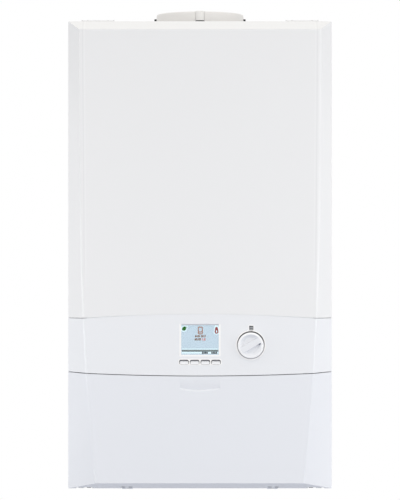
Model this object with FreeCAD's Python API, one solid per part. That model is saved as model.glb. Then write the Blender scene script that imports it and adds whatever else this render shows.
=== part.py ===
"""Wall-hung gas system boiler, built from its separate pieces.

Millimetres. +X is the viewer's right, the front faces -Y, the wall is the plane y = 0 and +Z is up.
Heights are measured from the underside of the casing while the pieces are modelled, and every piece
is then lowered by HANG_HEIGHT, so that the origin lies on the wall midway between the two wall fixings.
"""
import FreeCAD, Part
import math
import os

from FreeCAD import Vector

# Casing
CASE_WIDTH = 395.0
CASE_HEIGHT = 700.0
CASE_DEPTH = 278.0
BEVEL_DEPTH = 30.0
TOP_BEVEL = 14.5
BOTTOM_BEVEL = 10.0
SIDE_BEVEL = 17.5
SIDE_BEVEL_FOOT = 43.5
FOLD_RADIUS_TOP = 7.5
FOLD_RADIUS_FOOT = 1.5
FOLD_RADIUS_LEAST = 0.2
TOP_CORNER = 2.5
TOP_CORNER_LEAST = 0.5
RETURN_DEPTH = 47.0
SHEET = 1.0
MOULDING = 2.5
PANEL_LIP = 8.0
SEAL_THICKNESS = 2.0
SEAL_MARGIN = 1.5
FLANGE = 12.0
SHELF_DEPTH = 12.0
SHOULDER_INSET = 0.3
CREASE_INSET = 0.5
SAME_PLACE = 0.01

# Split lines across the front
BAND_FOOT = 174.9
BAND_HEIGHT = 80.6
BAND_FOOT_SAG = 5.3
BAND_TOP_RISE = 5.8
UPPER_GAP = 0.7
LOWER_GAP = 1.1

# Wall fixing
HANG_DROP = 60.0
FIXING_SPACING = 260.0
FIXING_RADIUS = 4.25
BRACKET_WIDTH = 330.0
BRACKET_HEIGHT = 40.0
BRACKET_SHEET = 2.0
HOOK_WIDTH = 280.0
HOOK_RISE = 8.0
HOOK_DROP = 7.0
HOOK_PLAY = 0.7
BACK_STANDOFF = 10.0
BACK_FLANGE = 20.0

# Clearances and pins
PIN_CLEARANCE = 0.05
SOCKET_CLEARANCE = 0.1
RUNNING_GAP = 0.4
HOLE_CLEARANCE = 0.3

# Cross rail and top clips
RAIL_SHEET = 1.2
RAIL_HEIGHT = 27.0
RAIL_DEPTH = 16.0
RAIL_DROP = 2.0
CLIP_X = 155.0
CLIP_LENGTH = 50.0
CLIP_DEPTH = 6.0
CLIP_HEIGHT = 5.6
CLIP_EAR_RISE = 0.8
CLIP_EAR_WIDTH = 2.0
CLIP_ARCH = 29.0
CLIP_SET_BACK = 3.0

# Control box
HOUSING_WIDTH = 320.0
HOUSING_REACH = 34.0
HOUSING_FOOT = 14.0
HOUSING_TOP_DROP = 5.0
HOUSING_STEP_RISE = 8.0
HOUSING_FRONT_GAP = 13.5
PIVOT_SET_BACK = 3.0
PIVOT_Z = 1.0
PIVOT_PIN_RADIUS = 2.5
PIVOT_EAR_RADIUS = 5.0
PIVOT_EAR_WIDTH = 4.0
PIVOT_PLATE = 3.0
PIVOT_HEAD_RADIUS = 4.6
PIVOT_HEAD_LENGTH = 6.5
PIVOT_HEAD_OUT = 1.6
PIVOT_TAB_INSET = 13.0
PIVOT_TAB_WIDTH = 8.5
PIVOT_TAB_DROP = 5.4
TERMINAL_MARGIN = 6.0
TERMINAL_RIB_PITCH = 18.0
TERMINAL_RIB_HEIGHT = 1.2

# Display, board, knob and buttons, with heights above the foot of the control band
DISPLAY_WIDTH = 55.7
DISPLAY_HEIGHT = 43.8
DISPLAY_RISE = 48.3
DISPLAY_BEVEL = 2.0
DISPLAY_OVERLAP = 2.5
WINDOW_THICKNESS = 1.2
WINDOW_GAP = 0.3
BOARD_SET_BACK = 11.5
BOARD_THICKNESS = 1.6
BOARD_LEFT = -64.0
BOARD_RIGHT = 110.0
BOARD_FOOT_RISE = 11.6
BOARD_HEIGHT = 58.0
BOARD_POST_RADIUS = 3.5
BOARD_POST_INSET = 6.0
KNOB_X = 75.4
KNOB_RISE = 40.3
KNOB_RADIUS = 19.2
KNOB_GAP = 1.2
KNOB_PROUD = 5.0
KNOB_SINK = 6.0
KNOB_EDGE = 1.8
KNOB_SCOOP_RADIUS = 16.2
KNOB_SCOOP_DEPTH = 3.4
KNOB_SCOOP_DRAFT = 52.0
KNOB_BAR_DRAFT = 12.0
KNOB_BAR_WIDE = 9.4
KNOB_BAR_NARROW = 7.6
KNOB_ANGLE = 30.0
KNOB_COLLAR_WALL = 2.0
KNOB_COLLAR_DEPTH = 9.0
SPINDLE_RADIUS = 3.0
SPINDLE_INSERT = 4.0
ENCODER_SIZE = 13.0
ENCODER_HEIGHT = 7.0
BUTTON_COUNT = 4
BUTTON_PITCH = 15.9
BUTTON_WIDTH = 12.6
BUTTON_HEIGHT = 5.2
BUTTON_RISE = 14.65
BUTTON_CORNER = 1.6
BUTTON_PROUD = 0.6
BUTTON_SINK = 1.9
BUTTON_SIDE_GAP = 0.8
BUTTON_TOP_GAP = 1.6
BUTTON_TRAVEL = 1.2
BUTTON_FLANGE = 1.2
BUTTON_FLANGE_THICKNESS = 1.4
BUTTON_STEM_RADIUS = 2.0
SWITCH_SIZE = 6.0
SWITCH_HEIGHT = 4.5

# Lower flap
FLAP_PIVOT_REACH = 11.0
FLAP_PIVOT_Z = 0.5
FLAP_PIN_RADIUS = 2.0
KNUCKLE_RADIUS = 4.5
KNUCKLE_WIDTH = 5.7
HINGE_X = 109.5
HINGE_LUG_WIDTH = 4.0
FLAP_FLOOR_SETBACK = 7.0
HINGE_SLOT_HEIGHT = 3.4
HINGE_SLOT_DEPTH = 12.0
FOOT_NOTCH_START = 5.0
FOOT_NOTCH_MARGIN = 1.5
FOOT_NOTCH_HEIGHT = 1.8
RECESS_WIDTH = 58.6
RECESS_DROP = 10.4
RECESS_HEIGHT = 14.4
RECESS_SAG = 3.2
RECESS_DEPTH = 2.2
RECESS_LEDGE = 1.9
RECESS_BACKING = 2.0

# Flue
FLUE_SET_BACK = 68.0
TURRET_RADIUS = 67.0
TURRET_HEIGHT = 19.5
TURRET_EDGE = 2.5
TURRET_FLOOR = 3.0
TURRET_LEDGE = 4.0
TURRET_SPOKES = 4
TURRET_SPOKE_WIDTH = 10.0
FLUE_SOCKET_RADIUS = 50.3
FLUE_BORE_RADIUS = 30.2
FLUE_DUCT_WALL = 1.0
AIR_HOLE_RADIUS = 52.0
TURRET_EAR_RADIUS = 6.0
TURRET_EAR_HEIGHT = 9.6
TURRET_EAR_REACH = 1.0
TURRET_SCREW_RADIUS = 1.4
TURRET_SCREW_HEAD = 2.4
TURRET_SCREW_HEAD_HEIGHT = 3.5
TURRET_SCREW_EDGE = 0.7
TURRET_SCREW_TAIL = 5.0
TEST_PLUG_RADIUS = 7.4
TEST_PLUG_FOOT = 5.6
TEST_PLUG_PROUD = 0.6
TEST_PLUG_REACH = 3.0

# Heat exchanger and burner, hung from the top of the casing
EXCHANGER_X = 48.0
EXCHANGER_DROP = 195.0
EXCHANGER_RADIUS = 100.0
EXCHANGER_SET_BACK = 1.0
EXCHANGER_LENGTH = 100.0
EXCHANGER_BAND = 3.0
EXCHANGER_BAND_WIDTH = 6.0
EXCHANGER_BANDS = 3
CHAMBER_RADIUS = 60.0
CHAMBER_BACK = 10.0
FLUE_SPIGOT_WALL = 3.0
FLUE_SPIGOT_RISE = 107.0
FLUE_SOCKET_DEPTH = 8.0
FLUE_STEP = 2.0
WATER_SPIGOT_WALL = 3.0
WATER_SOCKET_DEPTH = 12.0
FLOW_SPIGOT_X = -30.0
FLOW_SPIGOT_DROP = 80.0
RETURN_SPIGOT_DROP = 112.0
DRAIN_X = 30.0
VENT_X = 110.0
VENT_SET_BACK = 58.0
VENT_RISE = 95.0
VENT_BOSS_RADIUS = 9.0
DOOR_THICKNESS = 8.0
DOOR_HUB_RADIUS = 36.0
DOOR_HUB_DEPTH = 38.0
DOOR_HUB_WALL = 4.0
DOOR_HUB_EDGE = 8.0
DOOR_SEAL_INNER = 62.0
DOOR_SEAL_WIDTH = 10.0
DOOR_SEAL_DEPTH = 2.0
DOOR_STUDS = 6
DOOR_STUD_START = 30.0
DOOR_STUD_CIRCLE = 88.0
DOOR_STUD_RADIUS = 3.0
DOOR_STUD_INSERT = 6.0
DOOR_STUD_PROUD = 9.0
DOOR_NUT_RADIUS = 5.8
DOOR_NUT_HEIGHT = 5.0
BURNER_RADIUS = 30.0
BURNER_WALL = 1.5
BURNER_LENGTH = 80.0
BURNER_FLANGE_RADIUS = 44.0
ELECTRODE_CIRCLE = 52.0
ELECTRODE_ANGLES = (-40.0, -140.0)
ELECTRODE_RADIUS = 5.0
ELECTRODE_TIP_RADIUS = 1.2
ELECTRODE_PROUD = 26.0
ELECTRODE_REACH = 38.0
ELECTRODE_TERMINAL = 10.0

# Fan, gas valve and gas pipes
FAN_X = -118.0
FAN_DROP = 35.0
FAN_RADIUS = 56.0
FAN_WALL = 3.0
FAN_SET_BACK = 33.0
FAN_LENGTH = 48.0
FAN_OUTLET_X = -62.0
DUCT_HEIGHT = 38.0
DUCT_DEPTH = 36.0
DUCT_SET_BACK = 2.0
FAN_EYE_RADIUS = 26.0
FAN_SHAFT_RADIUS = 3.0
FAN_SHAFT_INSERT = 34.0
IMPELLER_RADIUS = 46.0
IMPELLER_GAP = 3.0
IMPELLER_PLATE = 2.0
IMPELLER_HUB_RADIUS = 9.0
IMPELLER_BLADES = 24
IMPELLER_BLADE_INNER = 29.0
IMPELLER_BLADE_THICKNESS = 1.2
IMPELLER_BLADE_LEAN = 25.0
IMPELLER_DEPTH = 26.0
IMPELLER_RING_INNER = 34.0
FAN_MOTOR_RADIUS = 38.0
FAN_MOTOR_LENGTH = 44.0
FAN_MOTOR_RIBS = 12
VENTURI_RADIUS = 32.0
VENTURI_LENGTH = 23.0
VENTURI_MOUTH = 28.0
VENTURI_THROAT = 18.0
GAS_PORT_RADIUS = 9.0
GAS_PORT_DROP = 8.0
GAS_FEED_RADIUS = 6.0
GAS_FEED_BEND = 22.0
GAS_FEED_SET_BACK = 24.0
VALVE_WIDTH = 60.0
VALVE_SET_BACK = 14.0
VALVE_DEPTH = 42.0
VALVE_HEIGHT = 60.0
VALVE_INLET_RISE = 20.0
VALVE_OUTLET_RISE = 40.0
VALVE_PORT_LENGTH = 12.0
VALVE_COIL_RADIUS = 13.0
VALVE_COIL_HEIGHT = 34.0
GAS_X = -8.0
GAS_STAGGER = 9.0
GAS_PIPE_RADIUS = 7.5
GAS_PIPE_BEND = 30.0
GAS_RUN_CLEARANCE = 8.0
SPARK_SIZE = (30.0, 40.0, 50.0)
SPARK_SET_BACK = 9.0
SPARK_DROP = 102.5
LEAD_RADIUS = 3.5
LEAD_BEND = 26.0
LEAD_RISE = 60.0

# Water side
PIPE_INSET = 14.0
WATER_PIPE_RADIUS = 11.0
SMALL_PIPE_RADIUS = 7.5
PIPE_WALL = 1.0
WATER_BEND = 33.0
FLOW_X = -110.0
FLOW_RUN_Z = 250.0
RETURN_X = 63.0
RELIEF_X = -62.0
RELIEF_STAGGER = 26.0
TRAY_Z = 18.0
TRAY_GAP = 4.0
TAIL_END = -6.0
UNION_NUT_HEIGHT = 4.0
UNION_COLLAR_HEIGHT = 5.0
UNION_NECK_WALL = 2.5
UNION_COLLAR_WALL = 6.0
PUMP_Z = 110.0
PUMP_RADIUS = 44.0
PUMP_WIDTH = 42.0
PUMP_PORT_RADIUS = 15.0
PUMP_PORT_RISE = 58.0
PUMP_MOTOR_RADIUS = 42.0
PUMP_MOTOR_LENGTH = 76.0
PUMP_RIBS = 5
PUMP_BOX = (44.0, 46.0, 22.0)
MANIFOLD_Z = 80.0
MANIFOLD_HEIGHT = 36.0
MANIFOLD_DEPTH = 28.0
MANIFOLD_MARGIN = 16.0
RELIEF_BODY_RADIUS = 13.0
RELIEF_BODY_LENGTH = 24.0
RELIEF_LEG_RADIUS = 10.0
RELIEF_STEM_RADIUS = 4.0
RELIEF_STEM_LENGTH = 7.0
RELIEF_CAP_RADIUS = 13.0
RELIEF_CAP_LENGTH = 10.0
RELIEF_CAP_LOBES = 8
RELIEF_CAP_GROOVE = 2.0
VESSEL_DROP = 230.0
VESSEL_RADIUS = 150.0
VESSEL_GAP = 3.0
VESSEL_CLEARANCE = 6.0
VESSEL_FLAT = 55.0
VESSEL_RIM = 4.0
VESSEL_RIM_WIDTH = 6.0
VESSEL_SHEET = 1.5
VESSEL_STUD_RADIUS = 10.0
VESSEL_PORT_RADIUS = 10.0
VESSEL_PORT_DROP = 16.0
VESSEL_PIPE_RADIUS = 6.0
VESSEL_PIPE_BEND = 25.0
VENT_RADIUS = 14.0
VENT_HEIGHT = 42.0
VENT_CAP_RADIUS = 5.0
VENT_CAP_HEIGHT = 7.0
TRAP_INSET = 47.5
TRAP_RADIUS = 25.0
TRAP_FOOT = 45.0
TRAP_HEIGHT = 105.0
TRAP_CAP = 2.5
TRAP_CAP_HEIGHT = 15.0
TRAP_INLET_HEIGHT = 25.0
TRAP_NECK_RADIUS = 13.0
TRAP_FLANGE_RADIUS = 20.0
TRAP_FLANGE_HEIGHT = 3.0
CONDENSATE_RADIUS = 10.75
HOSE_BORE_RADIUS = 9.0
HOSE_WALL = 2.0
HOSE_BEND = 32.0
HOSE_LAP = 9.0
HOSE_FALL = 15.0
HOSE_RUN_DROP = 155.0
HOSE_CLEARANCE = 1.2

# Planes and heights that follow from the sizes above
HALF_WIDTH = CASE_WIDTH / 2
FRONT_Y = -CASE_DEPTH
SHOULDER_Y = FRONT_Y + BEVEL_DEPTH
RETURN_Y = SHOULDER_Y + RETURN_DEPTH
CHASSIS_Y = RETURN_Y + SEAL_THICKNESS
HANG_HEIGHT = CASE_HEIGHT - HANG_DROP
PIVOT_Y = CHASSIS_Y + PIVOT_SET_BACK
FLAP_PIVOT_Y = RETURN_Y - FLAP_PIVOT_REACH
HOUSING_REAR = CHASSIS_Y + HOUSING_REACH
TRAY_FRONT = HOUSING_REAR + TRAY_GAP
SPARK_Y = CHASSIS_Y + SPARK_SET_BACK
EXCHANGER_FRONT = CHASSIS_Y + EXCHANGER_SET_BACK
EXCHANGER_REAR = EXCHANGER_FRONT + EXCHANGER_LENGTH
FLUE_Y = EXCHANGER_FRONT + FLUE_SET_BACK
VENT_Y = EXCHANGER_FRONT + VENT_SET_BACK
FAN_FRONT = FRONT_Y + FAN_SET_BACK
FAN_REAR = FAN_FRONT + FAN_LENGTH
GAS_FEED_Y = FRONT_Y + GAS_FEED_SET_BACK
VALVE_FRONT = FRONT_Y + VALVE_SET_BACK
PIPE_Y = EXCHANGER_REAR - PIPE_INSET
GAS_Y = PIPE_Y + GAS_STAGGER
RELIEF_Y = PIPE_Y - RELIEF_STAGGER
BAND_TOP = BAND_FOOT + BAND_HEIGHT
FASCIA_BACK = FRONT_Y + MOULDING
RAIL_FOOT = BAND_TOP - RAIL_DROP
RAIL_TOP = RAIL_FOOT + RAIL_HEIGHT
HOUSING_HALF = HOUSING_WIDTH / 2
HOUSING_TOP = BAND_TOP - HOUSING_TOP_DROP
HOUSING_STEP = BAND_FOOT + HOUSING_STEP_RISE
HOUSING_FRONT = FASCIA_BACK + HOUSING_FRONT_GAP
BOARD_Y = FASCIA_BACK + BOARD_SET_BACK
BOARD_FOOT = BAND_FOOT + BOARD_FOOT_RISE
DISPLAY_Z = BAND_FOOT + DISPLAY_RISE
KNOB_Z = BAND_FOOT + KNOB_RISE
BUTTON_Z = BAND_FOOT + BUTTON_RISE
EXCHANGER_Z = CASE_HEIGHT - EXCHANGER_DROP
DOOR_FRONT = EXCHANGER_FRONT - DOOR_THICKNESS
FAN_Z = EXCHANGER_Z - FAN_DROP
DUCT_FRONT = FAN_FRONT + DUCT_SET_BACK
VALVE_REAR = VALVE_FRONT + VALVE_DEPTH
GAS_RUN_Z = RAIL_TOP + GAS_RUN_CLEARANCE + GAS_PIPE_RADIUS
VALVE_FOOT = GAS_RUN_Z - VALVE_INLET_RISE
GAS_FEED_Z = VALVE_FOOT + VALVE_OUTLET_RISE
TRAY_TOP = TRAY_Z + SHEET
UNION_FOOT = TRAY_Z - UNION_NUT_HEIGHT
UNION_TOP = TRAY_TOP + UNION_COLLAR_HEIGHT
VESSEL_Z = CASE_HEIGHT - VESSEL_DROP
BACK_FACE = -BACK_STANDOFF - SHEET
VESSEL_REAR = BACK_FACE - VESSEL_GAP
VESSEL_FRONT = EXCHANGER_REAR + VESSEL_CLEARANCE
VESSEL_Y = (VESSEL_REAR + VESSEL_FRONT) / 2
TRAP_X = TRAP_INSET - HALF_WIDTH
TRAP_TOP = TRAP_FOOT + TRAP_HEIGHT + TRAP_CAP_HEIGHT
TURRET_TOP = CASE_HEIGHT + TURRET_HEIGHT
FLUE_DUCT_RADIUS = FLUE_BORE_RADIUS + FLUE_DUCT_WALL
FLUE_SPIGOT_TOP = EXCHANGER_Z + FLUE_SPIGOT_RISE
HOSE_RADIUS = HOSE_BORE_RADIUS + SOCKET_CLEARANCE + HOSE_WALL
TRAP_Y = PIPE_Y - WATER_PIPE_RADIUS - HOSE_CLEARANCE - HOSE_RADIUS
HOSE_TOP = EXCHANGER_Z - EXCHANGER_RADIUS - EXCHANGER_BAND - RUNNING_GAP
DRAIN_FOOT = HOSE_TOP - HOSE_LAP
EXCHANGER_AXIS = Vector(EXCHANGER_X, 0, EXCHANGER_Z)
FAN_AXIS = Vector(FAN_X, 0, FAN_Z)


# Shared shapes

def box(x, y, z):
    """Block between two values on each axis."""
    return Part.makeBox(x[1] - x[0], y[1] - y[0], z[1] - z[0], Vector(x[0], y[0], z[0]))


def wide(half, y, z):
    """Block that reaches the same way to both sides of the middle."""
    return box((-half, half), y, z)


def rod(radius, start, end):
    """Cylinder from one point to another."""
    start, end = Vector(*start), Vector(*end)
    return Part.makeCylinder(radius, (end - start).Length, start, end - start)


def post(radius, x, y, z):
    """Upright cylinder between two heights."""
    return rod(radius, (x, y, z[0]), (x, y, z[1]))


def spool(radius, axis, y):
    """Cylinder along Y about an axis, between two depths."""
    return rod(radius, (axis.x, y[0], axis.z), (axis.x, y[1], axis.z))


def slab(wire, depth):
    """Face of a closed wire pushed along a vector."""
    return Part.Face(wire).extrude(depth)


def rounded_slab(width, height, corner, centre, depth):
    """Upright plate with rounded corners whose front middle is at centre, going back by depth."""
    plate = box((-width / 2, width / 2), (0, depth), (-height / 2, height / 2))
    upright = [e for e in plate.Edges if abs(e.Vertexes[0].Y - e.Vertexes[-1].Y) > depth / 2]
    plate = plate.makeFillet(corner, upright)
    plate.translate(centre)
    return plate


def rings_at(shape, height):
    """Round edges of a shape at one height."""
    return [e for e in shape.Edges if e.Closed and abs(e.Vertexes[0].Z - height) < SAME_PLACE]


def rings_at_depth(shape, y):
    """Round edges of a shape at one depth."""
    return [e for e in shape.Edges if e.Closed and abs(e.Vertexes[0].Y - y) < SAME_PLACE]


def fused(first, *others):
    """One solid out of pieces that touch."""
    return first.fuse(list(others)).removeSplitter()


def mirrored(shape):
    """Copy on the other side of the middle."""
    return shape.mirror(Vector(0, 0, 0), Vector(1, 0, 0))


def pair(shape):
    """Two separate solids, one on each side."""
    return Part.makeCompound([shape, mirrored(shape)])


def bent_rod(points, bend, radius):
    """Round bar along straight runs joined by tangent arcs."""
    points = [Vector(*p) for p in points]
    edges = []
    start = points[0]
    for before, corner, after in zip(points, points[1:], points[2:]):
        come = (corner - before).normalize()
        go = (after - corner).normalize()
        half_turn = come.getAngle(go) / 2
        inward = (go - come).normalize()
        middle = corner + inward * (bend / math.cos(half_turn) - bend)
        arc_start = corner - come * (bend * math.tan(half_turn))
        arc_end = corner + go * (bend * math.tan(half_turn))
        edges.append(Part.makeLine(start, arc_start))
        edges.append(Part.Arc(arc_start, middle, arc_end).toShape())
        start = arc_end
    edges.append(Part.makeLine(start, points[-1]))
    ring = Part.Wire([Part.makeCircle(radius, points[0], points[1] - points[0])])
    return Part.Wire(edges).makePipeShell([ring], True, False)


def bent_tube(points, bend, radius, wall):
    """Open pipe along straight runs joined by tangent arcs."""
    return bent_rod(points, bend, radius).cut(bent_rod(points, bend, radius - wall))


def around(axis, count, start, radius):
    """Evenly spaced points on a circle about an axis along Y."""
    turns = [math.radians(start + 360 * i / count) for i in range(count)]
    return [(axis.x + radius * math.cos(t), axis.z + radius * math.sin(t)) for t in turns]


# Front skin, cut by the two split lines

def fold_edge(side, inset):
    """Crease between the front face and a side bevel, from the top down."""
    y = FRONT_Y + inset
    step = CREASE_INSET * inset
    top = CASE_HEIGHT - TOP_BEVEL - step
    foot = BOTTOM_BEVEL + step
    upper = side * (HALF_WIDTH - SIDE_BEVEL - step)
    lower = side * (HALF_WIDTH - SIDE_BEVEL_FOOT - step)
    third = (top - foot) / 3
    crease = Part.BezierCurve()
    crease.setPoles([
        Vector(upper, y, top),
        Vector(upper, y, top - third),
        Vector(upper, y, foot + third),
        Vector(lower, y, foot),
    ])
    return crease.toShape()


def skin_block(inset):
    """Solid inside the casing skin, set in from its outer faces."""
    left, right = fold_edge(-1, inset), fold_edge(1, inset)
    ends = [e.valueAt(t) for e, t in (
        (left, left.FirstParameter), (right, right.FirstParameter),
        (left, left.LastParameter), (right, right.LastParameter))]
    front = Part.Wire(Part.sortEdges([
        Part.makeLine(ends[0], ends[1]), right, Part.makeLine(ends[3], ends[2]), left])[0])
    half = HALF_WIDTH - inset
    shoulder_y = SHOULDER_Y + SHOULDER_INSET * inset
    corners = [
        Vector(-half, shoulder_y, CASE_HEIGHT - inset),
        Vector(half, shoulder_y, CASE_HEIGHT - inset),
        Vector(half, shoulder_y, inset),
        Vector(-half, shoulder_y, inset),
    ]
    bevel = Part.makeLoft([front, Part.makePolygon(corners + corners[:1])], True, True)
    rear = wide(half, (shoulder_y, RETURN_Y), (inset, CASE_HEIGHT - inset))
    return bevel.fuse(rear).removeSplitter().cut(pair(corner_waste(inset))).Solids[0]


def corner_waste(inset):
    """Sliver outside the rounded upper right corner of the skin."""
    radius = max(TOP_CORNER - inset, TOP_CORNER_LEAST)
    x, z = HALF_WIDTH - inset - radius, CASE_HEIGHT - inset - radius
    y = (FRONT_Y, RETURN_Y)
    square = box((x, x + 2 * radius), y, (z, z + 2 * radius))
    return square.cut(spool(radius, Vector(x, 0, z), y))


def is_fold(edge, side, inset):
    """True for the long crease on one side of the front face."""
    first, last = edge.Vertexes[0].Point, edge.Vertexes[-1].Point
    on_front = all(abs(point.y - FRONT_Y - inset) < SAME_PLACE for point in (first, last))
    return on_front and abs(first.z - last.z) > CASE_HEIGHT / 2 and first.x * side > 0


def rolled_block(inset):
    """Skin solid whose side creases are rolled, wider at the top than at the foot."""
    block = skin_block(inset)
    for side in (-1, 1):
        crease = [e for e in block.Edges if is_fold(e, side, inset)]
        foot = max(FOLD_RADIUS_FOOT - inset, FOLD_RADIUS_LEAST)
        block = block.makeFillet(FOLD_RADIUS_TOP - inset, foot, crease)
    return block


def split_region(sides, middle, straight, low, high):
    """Upright slice between two heights whose edges follow an arched split line."""
    reach = HALF_WIDTH + FLANGE
    def edge(shift):
        ends = Vector(-straight, 0, sides + shift), Vector(straight, 0, sides + shift)
        arch = Part.Arc(ends[0], Vector(0, 0, middle + shift), ends[1]).toShape()
        outer = Vector(-reach, 0, sides + shift), Vector(reach, 0, sides + shift)
        return [Part.makeLine(outer[0], ends[0]), arch, Part.makeLine(ends[1], outer[1])]
    closing = []
    for x in (-reach, reach):
        closing.append(Part.makeLine(Vector(x, 0, sides + low), Vector(x, 0, sides + high)))
    outline = Part.Wire(Part.sortEdges(edge(high) + edge(low) + closing)[0])
    return slab(outline, Vector(0, -2 * CASE_DEPTH, 0))


def upper_slice(low, high):
    """Slice measured from the split line between front panel and control band."""
    return split_region(BAND_TOP, BAND_TOP + BAND_TOP_RISE, HALF_WIDTH - SIDE_BEVEL_FOOT / 2, low, high)


def lower_slice(low, high):
    """Slice measured from the split line between control band and flap."""
    return split_region(BAND_FOOT, BAND_FOOT - BAND_FOOT_SAG, HALF_WIDTH, low, high)


def shelf(block, slice_solid):
    """Ledge along a split line, turned in from the skin."""
    front = wide(HALF_WIDTH, (FRONT_Y, FRONT_Y + SHELF_DEPTH), (0, CASE_HEIGHT))
    return block.common(slice_solid).common(front)


def front_panel():
    """Pressed steel front with bevelled borders, rolled side folds and a lip for the seal."""
    block, hollow = rolled_block(0.0), rolled_block(SHEET)
    above = upper_slice(UPPER_GAP / 2, CASE_HEIGHT)
    skin = block.cut(hollow).common(above)
    ledge = shelf(hollow, upper_slice(UPPER_GAP / 2, UPPER_GAP / 2 + SHEET))
    lip_y = (RETURN_Y - SHEET, RETURN_Y)
    lip = wide(HALF_WIDTH - SHEET, lip_y, (0, CASE_HEIGHT - SHEET))
    lip = lip.cut(wide(HALF_WIDTH - PANEL_LIP, lip_y, (0, CASE_HEIGHT - PANEL_LIP))).common(above)
    return fused(skin, ledge, lip)


def casing_seal():
    """Foam strip between the front panel's lip and the chassis flanges."""
    y = (RETURN_Y, CHASSIS_Y)
    outer, inner = HALF_WIDTH - SEAL_MARGIN, HALF_WIDTH - PANEL_LIP
    strip = wide(outer, y, (RAIL_TOP, CASE_HEIGHT - SEAL_MARGIN))
    return strip.cut(wide(inner, y, (RAIL_TOP, CASE_HEIGHT - PANEL_LIP)))


# Chassis

def wall_bracket():
    """Flat bar on the wall with an upturned edge that the boiler hooks on to."""
    half, top = BRACKET_WIDTH / 2, HANG_HEIGHT + BRACKET_HEIGHT / 2
    plate = wide(half, (-BRACKET_SHEET, 0), (HANG_HEIGHT - BRACKET_HEIGHT / 2, top))
    front = -(2 * BRACKET_SHEET + hook_slot())
    ledge = wide(half, (front, 0), (top - BRACKET_SHEET, top))
    upturn = wide(half, (front, front + BRACKET_SHEET), (top - BRACKET_SHEET, top + HOOK_RISE))
    bracket = fused(plate, ledge, upturn)
    for side in (-1, 1):
        x = side * FIXING_SPACING / 2
        bracket = bracket.cut(rod(FIXING_RADIUS, (x, -CASE_DEPTH, HANG_HEIGHT), (x, 0, HANG_HEIGHT)))
    return bracket


def hook_slot():
    """Room behind the bracket's upturned edge for the hook's leg."""
    return BRACKET_SHEET + 2 * HOOK_PLAY


def back_panel():
    """Back sheet with forward flanges, and the hook that hangs on the wall bracket."""
    half = HALF_WIDTH - SHEET
    sheet_y = (BACK_FACE, -BACK_STANDOFF)
    sheet = wide(half, sheet_y, (0, CASE_HEIGHT - SHEET))
    flange = box((half - SHEET, half), (BACK_FACE - BACK_FLANGE, -BACK_STANDOFF), (0, CASE_HEIGHT - SHEET))
    seat = HANG_HEIGHT + BRACKET_HEIGHT / 2 + HOOK_RISE
    leg_back = -(BRACKET_SHEET + HOOK_PLAY)
    arm = wide(HOOK_WIDTH / 2, (BACK_FACE, leg_back), (seat, seat + BRACKET_SHEET))
    leg = wide(HOOK_WIDTH / 2, (leg_back - BRACKET_SHEET, leg_back), (seat - HOOK_DROP, seat + BRACKET_SHEET))
    return fused(sheet, flange, mirrored(flange), arm, leg)


def side_panel():
    """Right-hand side sheet with folded front and rear flanges."""
    z = (0, CASE_HEIGHT)
    sheet = box((HALF_WIDTH - SHEET, HALF_WIDTH), (CHASSIS_Y, 0), z)
    front = box((HALF_WIDTH - FLANGE, HALF_WIDTH), (CHASSIS_Y, CHASSIS_Y + SHEET), z)
    rear = box((HALF_WIDTH - FLANGE, HALF_WIDTH), (-SHEET, 0), z)
    return fused(sheet, front, rear)


def top_panel():
    """Top sheet with folded front and rear flanges and the flue opening."""
    sheet = wide(HALF_WIDTH - SHEET, (CHASSIS_Y, 0), (CASE_HEIGHT - SHEET, CASE_HEIGHT))
    sheet = sheet.cut(Part.makeCompound([side_panel(), mirrored(side_panel())]))
    fold_z = (CASE_HEIGHT - FLANGE, CASE_HEIGHT)
    front = wide(HALF_WIDTH - FLANGE, (CHASSIS_Y, CHASSIS_Y + SHEET), fold_z)
    rear = wide(HALF_WIDTH - FLANGE, (-SHEET, 0), fold_z)
    panel = fused(sheet, front, rear)
    panel = panel.cut(post(AIR_HOLE_RADIUS, 0, FLUE_Y, (0, TURRET_TOP)))
    for x in (-turret_screw_x(), turret_screw_x()):
        panel = panel.cut(post(TURRET_SCREW_RADIUS + PIN_CLEARANCE, x, FLUE_Y, (0, TURRET_TOP)))
    return panel


def bottom_tray():
    """Sheet near the foot of the casing that the pipe unions are fixed in."""
    half = HALF_WIDTH - 2 * SHEET
    y = (TRAY_FRONT, BACK_FACE)
    tray = wide(half, y, (TRAY_Z, TRAY_TOP))
    front = wide(half, (TRAY_FRONT, TRAY_FRONT + SHEET), (TRAY_Z, TRAY_Z + FLANGE))
    side = box((half - SHEET, half), y, (TRAY_Z, TRAY_Z + FLANGE))
    tray = fused(tray, front, side, mirrored(side))
    for radius, x, y in tail_places():
        hole = radius + UNION_NECK_WALL + HOLE_CLEARANCE
        tray = tray.cut(post(hole, x, y, (0, UNION_TOP)))
    return tray.cut(post(TRAP_NECK_RADIUS + HOLE_CLEARANCE, TRAP_X, TRAP_Y, (0, UNION_TOP)))


def front_cross_rail():
    """Channel across the chassis behind the upper split line."""
    half = HALF_WIDTH - PANEL_LIP - SEAL_MARGIN
    y = (CHASSIS_Y - RAIL_DEPTH, CHASSIS_Y)
    rail = wide(half, y, (RAIL_FOOT, RAIL_TOP))
    inside_z = (RAIL_FOOT + RAIL_SHEET, RAIL_TOP - RAIL_SHEET)
    return rail.cut(wide(half, (y[0] + RAIL_SHEET, y[1]), inside_z))


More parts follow.
